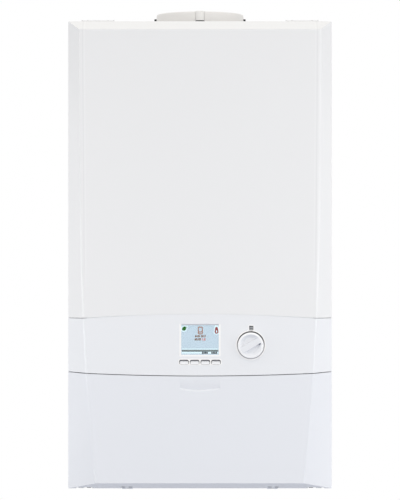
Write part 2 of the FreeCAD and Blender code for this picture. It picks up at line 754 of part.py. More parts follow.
def top_clips():
    """Bridge-shaped spring clips on the top sheet that hold the front panel's upper edge."""
    y = (CHASSIS_Y + CLIP_SET_BACK, CHASSIS_Y + CLIP_SET_BACK + CLIP_DEPTH)
    half = CLIP_LENGTH / 2
    clip = box((CLIP_X - half, CLIP_X + half), y, (CASE_HEIGHT, CASE_HEIGHT + CLIP_HEIGHT))
    arch = CLIP_ARCH / 2
    clip = clip.cut(box((CLIP_X - arch, CLIP_X + arch), y, (CASE_HEIGHT, CASE_HEIGHT + CLIP_HEIGHT / 2)))
    ear_z = (CASE_HEIGHT, CASE_HEIGHT + CLIP_HEIGHT + CLIP_EAR_RISE)
    ears = []
    for x in (-half, -arch - CLIP_EAR_WIDTH, arch, half - CLIP_EAR_WIDTH):
        ears.append(box((CLIP_X + x, CLIP_X + x + CLIP_EAR_WIDTH), y, ear_z))
    return pair(fused(clip, *ears))


def control_box_pivots():
    """Brackets on the side sheets with the headed pins that the control box swings down on."""
    x0 = HOUSING_HALF + RUNNING_GAP
    back = PIVOT_Y + 2 * PIVOT_EAR_RADIUS + PIVOT_PLATE
    plate_z = (PIVOT_Z - PIVOT_EAR_RADIUS, PIVOT_Z + 2 * PIVOT_EAR_RADIUS)
    plate = box((x0, x0 + PIVOT_PLATE), (PIVOT_Y - PIVOT_EAR_RADIUS, back), plate_z)
    foot_y = (PIVOT_Y + PIVOT_PIN_RADIUS, back)
    foot_z = (PIVOT_Z + PIVOT_PIN_RADIUS, PIVOT_Z + 2 * PIVOT_PIN_RADIUS)
    foot = box((x0, HALF_WIDTH - SHEET), foot_y, foot_z)
    tab_z = (PIVOT_Z - PIVOT_TAB_DROP, foot_z[1])
    tab_x = HALF_WIDTH - PIVOT_TAB_INSET
    tab = box((tab_x - PIVOT_TAB_WIDTH, tab_x), (foot_y[0], foot_y[0] + PIVOT_PLATE), tab_z)
    pin_end = HOUSING_HALF - PIVOT_EAR_WIDTH - RUNNING_GAP
    head_x = x0 + PIVOT_PLATE + PIVOT_HEAD_OUT
    head_end = head_x + PIVOT_HEAD_LENGTH
    pin = rod(PIVOT_PIN_RADIUS, (pin_end, PIVOT_Y, PIVOT_Z), (head_x, PIVOT_Y, PIVOT_Z))
    head = rod(PIVOT_HEAD_RADIUS, (head_x, PIVOT_Y, PIVOT_Z), (head_end, PIVOT_Y, PIVOT_Z))
    return pair(fused(plate, foot, tab, pin, head))


# Flue

def turret_screw_x():
    """Sideways place of the two turret screws."""
    return TURRET_RADIUS + TURRET_EAR_REACH


def flue_turret():
    """Round flue turret with the outer flue's socket, a spoked floor and two screw ears."""
    body = post(TURRET_RADIUS, 0, FLUE_Y, (CASE_HEIGHT, TURRET_TOP))
    body = body.makeFillet(TURRET_EDGE, rings_at(body, TURRET_TOP))
    floor_z = (CASE_HEIGHT, CASE_HEIGHT + TURRET_FLOOR)
    body = body.cut(post(FLUE_SOCKET_RADIUS, 0, FLUE_Y, (floor_z[1], TURRET_TOP)))
    body = body.cut(post(FLUE_SOCKET_RADIUS - TURRET_LEDGE, 0, FLUE_Y, floor_z))
    bore = FLUE_DUCT_RADIUS + SOCKET_CLEARANCE
    parts = [post(bore + TURRET_FLOOR, 0, FLUE_Y, floor_z)]
    reach = FLUE_SOCKET_RADIUS + TURRET_FLOOR
    for i in range(TURRET_SPOKES):
        spoke = box((0, reach), (-TURRET_SPOKE_WIDTH / 2, TURRET_SPOKE_WIDTH / 2), floor_z)
        spoke.rotate(Vector(0, 0, 0), Vector(0, 0, 1), 360 * (i + 0.5) / TURRET_SPOKES)
        spoke.translate(Vector(0, FLUE_Y, 0))
        parts.append(spoke)
    for x in (-turret_screw_x(), turret_screw_x()):
        ear = post(TURRET_EAR_RADIUS, x, FLUE_Y, (CASE_HEIGHT, CASE_HEIGHT + TURRET_EAR_HEIGHT))
        parts.append(ear.cut(post(FLUE_SOCKET_RADIUS + TURRET_FLOOR, 0, FLUE_Y, (CASE_HEIGHT, TURRET_TOP))))
    turret = fused(body, *parts)
    turret = turret.cut(post(bore, 0, FLUE_Y, floor_z))
    for x in (-turret_screw_x(), turret_screw_x()):
        turret = turret.cut(post(TURRET_SCREW_RADIUS + PIN_CLEARANCE, x, FLUE_Y, (CASE_HEIGHT, TURRET_TOP)))
        head_z = (CASE_HEIGHT + TURRET_EAR_HEIGHT, TURRET_TOP)
        turret = turret.cut(post(TURRET_SCREW_HEAD + HOLE_CLEARANCE, x, FLUE_Y, head_z))
    pocket_z = (CASE_HEIGHT + TEST_PLUG_FOOT, TURRET_TOP)
    return turret.cut(post(TEST_PLUG_RADIUS + HOLE_CLEARANCE, 0, test_plug_y(), pocket_z))


def flue_turret_screws():
    """Pan-headed screws through the turret's ears into the top sheet."""
    top = CASE_HEIGHT + TURRET_EAR_HEIGHT
    shank = post(TURRET_SCREW_RADIUS, turret_screw_x(), FLUE_Y, (CASE_HEIGHT - TURRET_SCREW_TAIL, top))
    head = post(TURRET_SCREW_HEAD, turret_screw_x(), FLUE_Y, (top, top + TURRET_SCREW_HEAD_HEIGHT))
    head = head.makeFillet(TURRET_SCREW_EDGE, rings_at(head, top + TURRET_SCREW_HEAD_HEIGHT))
    return pair(fused(head, shank))


def test_plug_y():
    """Depth of the sampling plug's axis, on the front edge of the turret."""
    return FLUE_Y - TURRET_RADIUS + TEST_PLUG_REACH


def flue_test_plug():
    """Round plug in the sampling point at the front of the turret."""
    z = (CASE_HEIGHT + TEST_PLUG_FOOT, TURRET_TOP + TEST_PLUG_PROUD)
    plug = post(TEST_PLUG_RADIUS, 0, test_plug_y(), z)
    return plug.makeFillet(TURRET_EDGE / 2, rings_at(plug, z[1]))


def flue_duct():
    """Exhaust pipe from the heat exchanger to the turret."""
    z = (FLUE_SPIGOT_TOP - FLUE_SOCKET_DEPTH, CASE_HEIGHT + TURRET_FLOOR)
    return post(FLUE_DUCT_RADIUS, 0, FLUE_Y, z).cut(post(FLUE_BORE_RADIUS, 0, FLUE_Y, z))


# Heat exchanger and burner

def heat_exchanger():
    """Round heat cell with its chamber, the flue and pipe spigots and the door studs' holes."""
    body = spool(EXCHANGER_RADIUS, EXCHANGER_AXIS, (EXCHANGER_FRONT, EXCHANGER_REAR))
    parts = []
    pitch = (EXCHANGER_REAR - EXCHANGER_FRONT) / (EXCHANGER_BANDS + 1)
    for i in range(EXCHANGER_BANDS):
        y = EXCHANGER_FRONT + (i + 1) * pitch
        band_y = (y - EXCHANGER_BAND_WIDTH / 2, y + EXCHANGER_BAND_WIDTH / 2)
        parts.append(spool(EXCHANGER_RADIUS + EXCHANGER_BAND, EXCHANGER_AXIS, band_y))
    mid = (CHAMBER_RADIUS + EXCHANGER_RADIUS) / 2
    flue_wall = FLUE_DUCT_RADIUS + SOCKET_CLEARANCE + FLUE_SPIGOT_WALL
    parts.append(post(flue_wall, 0, FLUE_Y, (EXCHANGER_Z + CHAMBER_RADIUS, FLUE_SPIGOT_TOP)))
    water_wall = WATER_PIPE_RADIUS + SOCKET_CLEARANCE + WATER_SPIGOT_WALL
    flow_foot, return_foot = EXCHANGER_Z - FLOW_SPIGOT_DROP, EXCHANGER_Z - RETURN_SPIGOT_DROP
    parts.append(post(water_wall, FLOW_SPIGOT_X, PIPE_Y, (flow_foot, EXCHANGER_Z - mid / 2)))
    parts.append(post(water_wall, RETURN_X, PIPE_Y, (return_foot, EXCHANGER_Z - mid)))
    parts.append(post(HOSE_BORE_RADIUS, DRAIN_X, TRAP_Y, (DRAIN_FOOT, EXCHANGER_Z - mid)))
    parts.append(post(VENT_BOSS_RADIUS, VENT_X, VENT_Y, (EXCHANGER_Z + mid / 2, EXCHANGER_Z + VENT_RISE)))
    cell = fused(body, *parts)
    cell = cell.cut(spool(CHAMBER_RADIUS, EXCHANGER_AXIS, (EXCHANGER_FRONT, EXCHANGER_REAR - CHAMBER_BACK)))
    cell = cell.cut(post(FLUE_BORE_RADIUS - FLUE_STEP, 0, FLUE_Y, (EXCHANGER_Z, FLUE_SPIGOT_TOP)))
    socket_z = (FLUE_SPIGOT_TOP - FLUE_SOCKET_DEPTH, FLUE_SPIGOT_TOP)
    cell = cell.cut(post(FLUE_DUCT_RADIUS + SOCKET_CLEARANCE, 0, FLUE_Y, socket_z))
    for x, foot in ((FLOW_SPIGOT_X, flow_foot), (RETURN_X, return_foot)):
        bore = WATER_PIPE_RADIUS + SOCKET_CLEARANCE
        cell = cell.cut(post(bore, x, PIPE_Y, (foot, foot + WATER_SOCKET_DEPTH)))
    stud_y = (EXCHANGER_FRONT, EXCHANGER_FRONT + DOOR_STUD_INSERT)
    for axis in door_stud_axes():
        cell = cell.cut(spool(DOOR_STUD_RADIUS + PIN_CLEARANCE, axis, stud_y))
    return cell


def door_stud_axes():
    """Places of the studs that hold the burner door."""
    places = around(EXCHANGER_AXIS, DOOR_STUDS, DOOR_STUD_START, DOOR_STUD_CIRCLE)
    return [Vector(x, 0, z) for x, z in places]


def electrode_axes():
    """Places of the two electrodes in the burner door."""
    turns = [math.radians(a) for a in ELECTRODE_ANGLES]
    return [EXCHANGER_AXIS + Vector(math.cos(t), 0, math.sin(t)) * ELECTRODE_CIRCLE for t in turns]


def duct_block(x, wall):
    """Square mixture duct between fan and burner door, thinned by a wall on four sides."""
    y = (DUCT_FRONT + wall, DUCT_FRONT + DUCT_DEPTH - wall)
    return box(x, y, (EXCHANGER_Z - DUCT_HEIGHT / 2 + wall, EXCHANGER_Z + DUCT_HEIGHT / 2 - wall))


def burner_door():
    """Round door with a domed mixing hub and the square inlet from the fan."""
    disc = spool(EXCHANGER_RADIUS, EXCHANGER_AXIS, (DOOR_FRONT, EXCHANGER_FRONT))
    hub_front = DOOR_FRONT - DOOR_HUB_DEPTH
    hub = spool(DOOR_HUB_RADIUS, EXCHANGER_AXIS, (hub_front, EXCHANGER_FRONT))
    hub = hub.makeFillet(DOOR_HUB_EDGE, rings_at_depth(hub, hub_front))
    door = fused(disc, hub, duct_block((FAN_OUTLET_X, EXCHANGER_X), 0))
    room_y = (hub_front + DOOR_HUB_WALL, EXCHANGER_FRONT)
    door = door.cut(spool(BURNER_RADIUS - BURNER_WALL, EXCHANGER_AXIS, room_y))
    door = door.cut(duct_block((FAN_OUTLET_X, EXCHANGER_X), FAN_WALL))
    seat_y = (EXCHANGER_FRONT - DOOR_SEAL_DEPTH, EXCHANGER_FRONT)
    door = door.cut(spool(BURNER_FLANGE_RADIUS, EXCHANGER_AXIS, seat_y)).cut(burner_door_seal())
    for axis in electrode_axes():
        door = door.cut(spool(ELECTRODE_RADIUS + PIN_CLEARANCE, axis, (hub_front, EXCHANGER_FRONT)))
    for axis in door_stud_axes():
        hole = spool(DOOR_STUD_RADIUS + HOLE_CLEARANCE, axis, (DOOR_FRONT, EXCHANGER_FRONT))
        door = door.cut(hole)
    return door


def burner_door_seal():
    """Flat ring between burner door and heat exchanger."""
    y = (EXCHANGER_FRONT - DOOR_SEAL_DEPTH, EXCHANGER_FRONT)
    outer = spool(DOOR_SEAL_INNER + DOOR_SEAL_WIDTH, EXCHANGER_AXIS, y)
    return outer.cut(spool(DOOR_SEAL_INNER, EXCHANGER_AXIS, y))


def burner():
    """Cylinder burner, closed at the back, with its clamping flange."""
    back = EXCHANGER_FRONT + BURNER_LENGTH
    flange_y = (EXCHANGER_FRONT - DOOR_SEAL_DEPTH, EXCHANGER_FRONT)
    can = spool(BURNER_RADIUS, EXCHANGER_AXIS, (flange_y[0], back))
    flange = spool(BURNER_FLANGE_RADIUS, EXCHANGER_AXIS, flange_y)
    room = spool(BURNER_RADIUS - BURNER_WALL, EXCHANGER_AXIS, (flange_y[0], back - BURNER_WALL))
    return fused(can, flange).cut(room)


def burner_door_nuts():
    """Studs of the heat exchanger with the hexagon nuts that hold the door."""
    nuts = []
    for axis in door_stud_axes():
        corners = [Vector(x, DOOR_FRONT, z) for x, z in around(axis, 6, 0, DOOR_NUT_RADIUS)]
        nut = slab(Part.makePolygon(corners + corners[:1]), Vector(0, -DOOR_NUT_HEIGHT, 0))
        stud_y = (DOOR_FRONT - DOOR_STUD_PROUD, EXCHANGER_FRONT + DOOR_STUD_INSERT)
        nuts.append(fused(nut, spool(DOOR_STUD_RADIUS, axis, stud_y)))
    return Part.makeCompound(nuts)


def burner_electrodes():
    """Ignition electrode and flame sensor: a ceramic sleeve, a tip and a side terminal each."""
    pieces = []
    front = DOOR_FRONT - ELECTRODE_PROUD
    for side, axis in zip((1, -1), electrode_axes()):
        sleeve = spool(ELECTRODE_RADIUS, axis, (front, EXCHANGER_FRONT + ELECTRODE_REACH / 2))
        tip = spool(ELECTRODE_TIP_RADIUS, axis, (front, EXCHANGER_FRONT + ELECTRODE_REACH))
        y = front + ELECTRODE_RADIUS
        reach = axis.x + side * (ELECTRODE_RADIUS + ELECTRODE_TERMINAL)
        terminal = rod(ELECTRODE_TIP_RADIUS, (axis.x, y, axis.z), (reach, y, axis.z))
        pieces.append(fused(sleeve, tip, terminal))
    return Part.makeCompound(pieces)


def spark_generator():
    """Moulded ignition box on the right-hand side sheet, with its lead tower on top."""
    right, top = HALF_WIDTH - SHEET, EXCHANGER_Z - SPARK_DROP
    left = right - SPARK_SIZE[0]
    case = box((left, right), (SPARK_Y, SPARK_Y + SPARK_SIZE[1]), (top - SPARK_SIZE[2], top))
    outer = [e for e in case.Edges if all(abs(v.X - left) < SAME_PLACE for v in e.Vertexes)]
    case = case.makeFillet(MOULDING, outer)
    x, y = right - SPARK_SIZE[0] / 2, SPARK_Y + SPARK_SIZE[1] / 2
    return fused(case, post(LEAD_RADIUS + MOULDING, x, y, (top - MOULDING, top + 2 * LEAD_RADIUS)))


def ignition_lead():
    """Silicone lead from the ignition box to the electrode's terminal."""
    top = EXCHANGER_Z - SPARK_DROP + 2 * LEAD_RADIUS
    x, y = HALF_WIDTH - SHEET - SPARK_SIZE[0] / 2, SPARK_Y + SPARK_SIZE[1] / 2
    axis = electrode_axes()[0]
    end_y = DOOR_FRONT - ELECTRODE_PROUD + ELECTRODE_RADIUS
    end_x = axis.x + ELECTRODE_RADIUS + RUNNING_GAP
    points = [
        (x, y, top),
        (x, y, top + LEAD_RISE),
        (EXCHANGER_X + EXCHANGER_RADIUS, end_y, axis.z),
        (end_x, end_y, axis.z),
    ]
    lead = bent_rod(points, LEAD_BEND, LEAD_RADIUS)
    socket_ends = [(x, end_y, axis.z) for x in (end_x, end_x + ELECTRODE_TERMINAL)]
    return lead.cut(rod(ELECTRODE_TIP_RADIUS + PIN_CLEARANCE, *socket_ends))


# Fan and gas train

def fan_housing():
    """Fan casing with its side outlet, inlet eye and shaft hole."""
    drum = spool(FAN_RADIUS, FAN_AXIS, (FAN_FRONT, FAN_REAR))
    casing = fused(drum, duct_block((FAN_X, FAN_OUTLET_X), 0))
    room = spool(FAN_RADIUS - FAN_WALL, FAN_AXIS, (FAN_FRONT + FAN_WALL, FAN_REAR - FAN_WALL))
    casing = casing.cut(room).cut(duct_block((FAN_X, FAN_OUTLET_X), FAN_WALL))
    casing = casing.cut(spool(FAN_EYE_RADIUS, FAN_AXIS, (FAN_FRONT, FAN_FRONT + FAN_WALL)))
    shaft_hole = FAN_SHAFT_RADIUS + HOLE_CLEARANCE
    return casing.cut(spool(shaft_hole, FAN_AXIS, (FAN_REAR - FAN_WALL, FAN_REAR)))


def fan_impeller():
    """Backward-leaning blades between a back plate and a shroud ring, on the motor shaft."""
    back = FAN_REAR - FAN_WALL - IMPELLER_GAP
    front = back - IMPELLER_DEPTH
    plate_y = (back - IMPELLER_PLATE, back)
    ring_y = (front, front + IMPELLER_PLATE)
    plate = spool(IMPELLER_RADIUS, FAN_AXIS, plate_y)
    hub = spool(IMPELLER_HUB_RADIUS, FAN_AXIS, (back - IMPELLER_DEPTH / 2, back))
    shaft = spool(FAN_SHAFT_RADIUS, FAN_AXIS, (back - IMPELLER_DEPTH / 2, FAN_REAR + FAN_SHAFT_INSERT))
    ring = spool(IMPELLER_RADIUS, FAN_AXIS, ring_y).cut(spool(IMPELLER_RING_INNER, FAN_AXIS, ring_y))
    half = IMPELLER_BLADE_THICKNESS / 2
    reach = (IMPELLER_RADIUS - IMPELLER_BLADE_INNER) / math.cos(math.radians(IMPELLER_BLADE_LEAN))
    blades = []
    for i in range(IMPELLER_BLADES):
        blade = box((0, reach), (front, back), (-half, half))
        blade.rotate(Vector(0, 0, 0), Vector(0, 1, 0), IMPELLER_BLADE_LEAN)
        blade.translate(Vector(IMPELLER_BLADE_INNER, 0, 0))
        blade.rotate(Vector(0, 0, 0), Vector(0, 1, 0), 360 * i / IMPELLER_BLADES)
        blade.translate(FAN_AXIS)
        blades.append(blade)
    limit = spool(IMPELLER_RADIUS, FAN_AXIS, (front, back))
    vanes = [blade.common(limit) for blade in blades]
    return fused(plate, ring, hub, shaft, *vanes)


def fan_motor():
    """Ribbed motor behind the fan, with a blind bearing bore for the shaft."""
    y = (FAN_REAR, FAN_REAR + FAN_MOTOR_LENGTH)
    motor = spool(FAN_MOTOR_RADIUS, FAN_AXIS, y)
    motor = motor.makeFillet(2 * FAN_WALL, rings_at_depth(motor, y[1]))
    flute_y = (FAN_REAR + 2 * FAN_WALL, y[1])
    for x, z in around(FAN_AXIS, FAN_MOTOR_RIBS, 0, FAN_MOTOR_RADIUS + FAN_WALL / 2):
        motor = motor.cut(spool(FAN_WALL, Vector(x, 0, z), flute_y))
    bore_y = (FAN_REAR, FAN_REAR + FAN_SHAFT_INSERT + RUNNING_GAP)
    return motor.cut(spool(FAN_SHAFT_RADIUS + PIN_CLEARANCE, FAN_AXIS, bore_y))


def cone(axis, y, radii):
    """Tapered plug along Y, with a radius at each depth."""
    start = Vector(axis.x, y[0], axis.z)
    return Part.makeCone(radii[0], radii[1], y[1] - y[0], start, Vector(0, 1, 0))


def venturi():
    """Air and gas mixer on the fan's eye, narrowing to a throat, with a gas port below."""
    y = (FAN_FRONT - VENTURI_LENGTH, FAN_FRONT)
    body = spool(VENTURI_RADIUS, FAN_AXIS, y)
    port_z = (FAN_Z - VENTURI_RADIUS - GAS_PORT_DROP, FAN_Z - VENTURI_THROAT - FAN_WALL)
    body = fused(body, post(GAS_PORT_RADIUS, FAN_X, GAS_FEED_Y, port_z))
    middle = (y[0] + y[1]) / 2
    body = body.cut(cone(FAN_AXIS, (y[0], middle), (VENTURI_MOUTH, VENTURI_THROAT)))
    body = body.cut(cone(FAN_AXIS, (middle, y[1]), (VENTURI_THROAT, FAN_EYE_RADIUS)))
    return body.cut(post(GAS_FEED_RADIUS - PIPE_WALL, FAN_X, GAS_FEED_Y, (port_z[0], FAN_Z)))


def gas_valve():
    """Cast gas valve with two solenoid coils, a rear inlet and a side outlet."""
    x = (GAS_X - VALVE_WIDTH / 2, GAS_X + VALVE_WIDTH / 2)
    z = (VALVE_FOOT, VALVE_FOOT + VALVE_HEIGHT)
    body = box(x, (VALVE_FRONT, VALVE_REAR), z)
    upright = [e for e in body.Edges if abs(e.Vertexes[0].Z - e.Vertexes[-1].Z) > SAME_PLACE]
    body = body.makeFillet(2 * MOULDING, upright)
    middle_y = (VALVE_FRONT + VALVE_REAR) / 2
    parts = []
    for side in (-1, 1):
        coil_x = GAS_X + side * VALVE_WIDTH / 4
        parts.append(post(VALVE_COIL_RADIUS, coil_x, middle_y, (z[1], z[1] + VALVE_COIL_HEIGHT)))
    inlet = (GAS_X, VALVE_REAR + VALVE_PORT_LENGTH, GAS_RUN_Z)
    parts.append(rod(GAS_PIPE_RADIUS + UNION_NECK_WALL, (GAS_X, middle_y, GAS_RUN_Z), inlet))
    outlet = (x[0] - VALVE_PORT_LENGTH, GAS_FEED_Y, GAS_FEED_Z)
    parts.append(rod(GAS_PORT_RADIUS, (GAS_X, GAS_FEED_Y, GAS_FEED_Z), outlet))
    return fused(body, *parts)


def gas_inlet_pipe():
    """Pipe from the gas union up behind the control box and forward to the valve."""
    points = [
        (GAS_X, GAS_Y, UNION_TOP),
        (GAS_X, GAS_Y, GAS_RUN_Z),
        (GAS_X, VALVE_REAR + VALVE_PORT_LENGTH, GAS_RUN_Z),
    ]
    return bent_tube(points, GAS_PIPE_BEND, GAS_PIPE_RADIUS, PIPE_WALL)


def gas_feed_pipe():
    """Pipe from the valve's outlet to the venturi's gas port."""
    points = [
        (GAS_X - VALVE_WIDTH / 2 - VALVE_PORT_LENGTH, GAS_FEED_Y, GAS_FEED_Z),
        (FAN_X, GAS_FEED_Y, GAS_FEED_Z),
        (FAN_X, GAS_FEED_Y, FAN_Z - VENTURI_RADIUS - GAS_PORT_DROP),
    ]
    return bent_tube(points, GAS_FEED_BEND, GAS_FEED_RADIUS, PIPE_WALL)


# Water side

def tail_places():
    """Outer radius and place of each pipe tail: flow, return, gas and relief discharge."""
    return [
        (WATER_PIPE_RADIUS, FLOW_X, PIPE_Y),
        (WATER_PIPE_RADIUS, RETURN_X, PIPE_Y),
        (GAS_PIPE_RADIUS, GAS_X, GAS_Y),
        (SMALL_PIPE_RADIUS, RELIEF_X, RELIEF_Y),
    ]


def pipe_tails():
    """Copper stubs below the tray that the installer's pipes are joined to."""
    tails = []
    for radius, x, y in tail_places():
        z = (TAIL_END, UNION_FOOT)
        tails.append(post(radius, x, y, z).cut(post(radius - PIPE_WALL, x, y, z)))
    return Part.makeCompound(tails)


def bulkhead_unions():
    """Brass unions clamped in the tray: a hexagon below, a round collar above."""
    unions = []
    for radius, x, y in tail_places():
        neck = post(radius + UNION_NECK_WALL, x, y, (UNION_FOOT, UNION_TOP))
        across = radius + UNION_COLLAR_WALL
        turns = [math.radians(60 * i) for i in range(6)]
        corners = [Vector(x + across * math.cos(t), y + across * math.sin(t), UNION_FOOT) for t in turns]
        nut = slab(Part.makePolygon(corners + corners[:1]), Vector(0, 0, UNION_NUT_HEIGHT))
        collar = post(radius + UNION_COLLAR_WALL, x, y, (TRAY_TOP, UNION_TOP))
        bore = post(radius - PIPE_WALL, x, y, (UNION_FOOT, UNION_TOP))
        unions.append(fused(neck, nut, collar).cut(bore))
    return Part.makeCompound(unions)


def pump_body():
    """Cast volute with the return inlet below and the outlet above."""
    x = (RETURN_X - PUMP_WIDTH / 2, RETURN_X + PUMP_WIDTH / 2)
    volute = rod(PUMP_RADIUS, (x[0], PIPE_Y, PUMP_Z), (x[1], PIPE_Y, PUMP_Z))
    rim = [e for e in volute.Edges if e.Closed and e.Vertexes[0].X < RETURN_X]
    volute = volute.makeFillet(2 * UNION_COLLAR_WALL, rim)
    ports = post(PUMP_PORT_RADIUS, RETURN_X, PIPE_Y, (UNION_TOP, PUMP_Z + PUMP_PORT_RISE))
    body = fused(volute, ports)
    room_z = (PUMP_Z + PUMP_PORT_RISE - WATER_SOCKET_DEPTH, PUMP_Z + PUMP_PORT_RISE)
    body = body.cut(post(WATER_PIPE_RADIUS + SOCKET_CLEARANCE, RETURN_X, PIPE_Y, room_z))
    inlet_z = (UNION_TOP, UNION_TOP + WATER_SOCKET_DEPTH)
    return body.cut(post(WATER_PIPE_RADIUS - PIPE_WALL, RETURN_X, PIPE_Y, inlet_z))


def pump_motor():
    """Ribbed pump motor with its terminal box on top."""
    start = RETURN_X + PUMP_WIDTH / 2
    end = start + PUMP_MOTOR_LENGTH
    motor = rod(PUMP_MOTOR_RADIUS, (start, PIPE_Y, PUMP_Z), (end, PIPE_Y, PUMP_Z))
    pitch = PUMP_MOTOR_LENGTH / (2 * PUMP_RIBS + 1)
    groove_depth = UNION_NECK_WALL
    for i in range(PUMP_RIBS):
        x = start + (2 * i + 1) * pitch
        ring = rod(PUMP_MOTOR_RADIUS, (x, PIPE_Y, PUMP_Z), (x + pitch, PIPE_Y, PUMP_Z))
        core = rod(PUMP_MOTOR_RADIUS - groove_depth, (x, PIPE_Y, PUMP_Z), (x + pitch, PIPE_Y, PUMP_Z))
        motor = motor.cut(ring.cut(core))
    middle = (start + end) / 2
    box_x = (middle - PUMP_BOX[0] / 2, middle + PUMP_BOX[0] / 2)
    box_y = (PIPE_Y - PUMP_BOX[1] / 2, PIPE_Y + PUMP_BOX[1] / 2)
    box_top = PUMP_Z + PUMP_MOTOR_RADIUS + PUMP_BOX[2] / 2
    return fused(motor, box(box_x, box_y, (box_top - PUMP_BOX[2], box_top)))


def return_pipe():
    """Straight pipe from the pump up to the heat exchanger."""
    foot = PUMP_Z + PUMP_PORT_RISE - WATER_SOCKET_DEPTH
    top = EXCHANGER_Z - RETURN_SPIGOT_DROP + WATER_SOCKET_DEPTH
    pipe = post(WATER_PIPE_RADIUS, RETURN_X, PIPE_Y, (foot, top))
    return pipe.cut(post(WATER_PIPE_RADIUS - PIPE_WALL, RETURN_X, PIPE_Y, (foot, top)))


def manifold_top():
    """Height of the flow pipe's spigot on the manifold."""
    return MANIFOLD_Z + MANIFOLD_HEIGHT / 2 + WATER_SOCKET_DEPTH


def flow_pipe():
    """Pipe from the heat exchanger down and across to the flow manifold."""
    points = [
        (FLOW_SPIGOT_X, PIPE_Y, EXCHANGER_Z - FLOW_SPIGOT_DROP + WATER_SOCKET_DEPTH),
        (FLOW_SPIGOT_X, PIPE_Y, FLOW_RUN_Z),
        (FLOW_X, PIPE_Y, FLOW_RUN_Z),
        (FLOW_X, PIPE_Y, manifold_top() - WATER_SOCKET_DEPTH),
    ]
    return bent_tube(points, WATER_BEND, WATER_PIPE_RADIUS, PIPE_WALL)


def flow_manifold():
    """Brass block over the flow union that carries the relief valve and the vessel's pipe."""
    x = (FLOW_X - MANIFOLD_MARGIN, RELIEF_X + MANIFOLD_MARGIN)
    y = (PIPE_Y - MANIFOLD_DEPTH / 2, PIPE_Y + MANIFOLD_DEPTH / 2)
    block = box(x, y, (MANIFOLD_Z - MANIFOLD_HEIGHT / 2, MANIFOLD_Z + MANIFOLD_HEIGHT / 2))
    block = block.makeFillet(MOULDING, block.Edges)
    wall = WATER_PIPE_RADIUS + SOCKET_CLEARANCE + UNION_NECK_WALL
    block = fused(block, post(wall, FLOW_X, PIPE_Y, (UNION_TOP, manifold_top())))
    bore = WATER_PIPE_RADIUS + SOCKET_CLEARANCE
    block = block.cut(post(bore, FLOW_X, PIPE_Y, (manifold_top() - WATER_SOCKET_DEPTH, manifold_top())))
    return block.cut(post(WATER_PIPE_RADIUS - PIPE_WALL, FLOW_X, PIPE_Y, (UNION_TOP, manifold_top())))


def relief_axis():
    """Axis of the relief valve, on the front of the manifold."""
    return Vector(RELIEF_X, 0, MANIFOLD_Z)


def relief_face():
    """Depth of the relief valve's front face."""
    return PIPE_Y - MANIFOLD_DEPTH / 2 - RELIEF_BODY_LENGTH


def relief_valve():
    """Safety valve with its discharge leg and the stem for the test cap."""
    back = PIPE_Y - MANIFOLD_DEPTH / 2
    body = spool(RELIEF_BODY_RADIUS, relief_axis(), (relief_face(), back))
    stem = spool(RELIEF_STEM_RADIUS, relief_axis(), (relief_face() - RELIEF_STEM_LENGTH, back))
    leg = post(RELIEF_LEG_RADIUS, RELIEF_X, RELIEF_Y, (UNION_TOP, MANIFOLD_Z))
    bore = post(SMALL_PIPE_RADIUS - PIPE_WALL, RELIEF_X, RELIEF_Y, (UNION_TOP, MANIFOLD_Z))
    return fused(body, stem, leg).cut(bore)


def relief_valve_cap():
    """Lobed test cap that turns on the relief valve's stem."""
    rear = relief_face() - RUNNING_GAP
    cap = spool(RELIEF_CAP_RADIUS, relief_axis(), (rear - RELIEF_CAP_LENGTH, rear))
    for x, z in around(relief_axis(), RELIEF_CAP_LOBES, 0, RELIEF_CAP_RADIUS + RELIEF_CAP_GROOVE / 2):
        cap = cap.cut(spool(RELIEF_CAP_GROOVE, Vector(x, 0, z), (rear - RELIEF_CAP_LENGTH, rear)))
    bore_y = (relief_face() - RELIEF_STEM_LENGTH - RUNNING_GAP, rear)
    return cap.cut(spool(RELIEF_STEM_RADIUS + PIN_CLEARANCE, relief_axis(), bore_y))


def vessel_half(side, wall):
    """Dished half of the vessel, from its middle plane to its flat pole, thinned by a wall."""
    middle = VESSEL_Y
    pole = middle + side * ((VESSEL_REAR - VESSEL_FRONT) / 2 - wall)
    radius = VESSEL_RADIUS - wall
    shoulder = Vector((radius + VESSEL_FLAT) / 2, pole + (middle - pole) / 4, 0)
    dish = Part.Arc(Vector(VESSEL_FLAT, pole, 0), shoulder, Vector(radius, middle, 0)).toShape()
    outline = Part.Wire([
        Part.makeLine(Vector(0, middle, 0), Vector(0, pole, 0)),
        Part.makeLine(Vector(0, pole, 0), Vector(VESSEL_FLAT, pole, 0)),
        dish,
        Part.makeLine(Vector(radius, middle, 0), Vector(0, middle, 0)),
    ])
    half = Part.Face(outline).revolve(Vector(0, 0, 0), Vector(0, 1, 0), 360)
    half.translate(Vector(0, 0, VESSEL_Z))
    return half


def expansion_vessel():
    """Flat round vessel: two dished halves with a rim, a rear stud and a bottom port."""
    axis = Vector(0, 0, VESSEL_Z)
    rim_y = (VESSEL_Y - VESSEL_RIM_WIDTH / 2, VESSEL_Y + VESSEL_RIM_WIDTH / 2)
    rim = spool(VESSEL_RADIUS + VESSEL_RIM, axis, rim_y)
    stud = spool(VESSEL_STUD_RADIUS, axis, (VESSEL_REAR - VESSEL_SHEET, BACK_FACE))
    foot = vessel_port_foot()
    port_z = (foot, foot + 2 * VESSEL_PORT_DROP)
    port = post(VESSEL_PORT_RADIUS, RELIEF_X, VESSEL_Y, port_z)
    vessel = fused(vessel_half(1, 0), vessel_half(-1, 0), rim, stud, port)
    room = fused(vessel_half(1, VESSEL_SHEET), vessel_half(-1, VESSEL_SHEET))
    bore = post(VESSEL_PIPE_RADIUS - PIPE_WALL, RELIEF_X, VESSEL_Y, port_z)
    return vessel.cut(room).cut(bore)


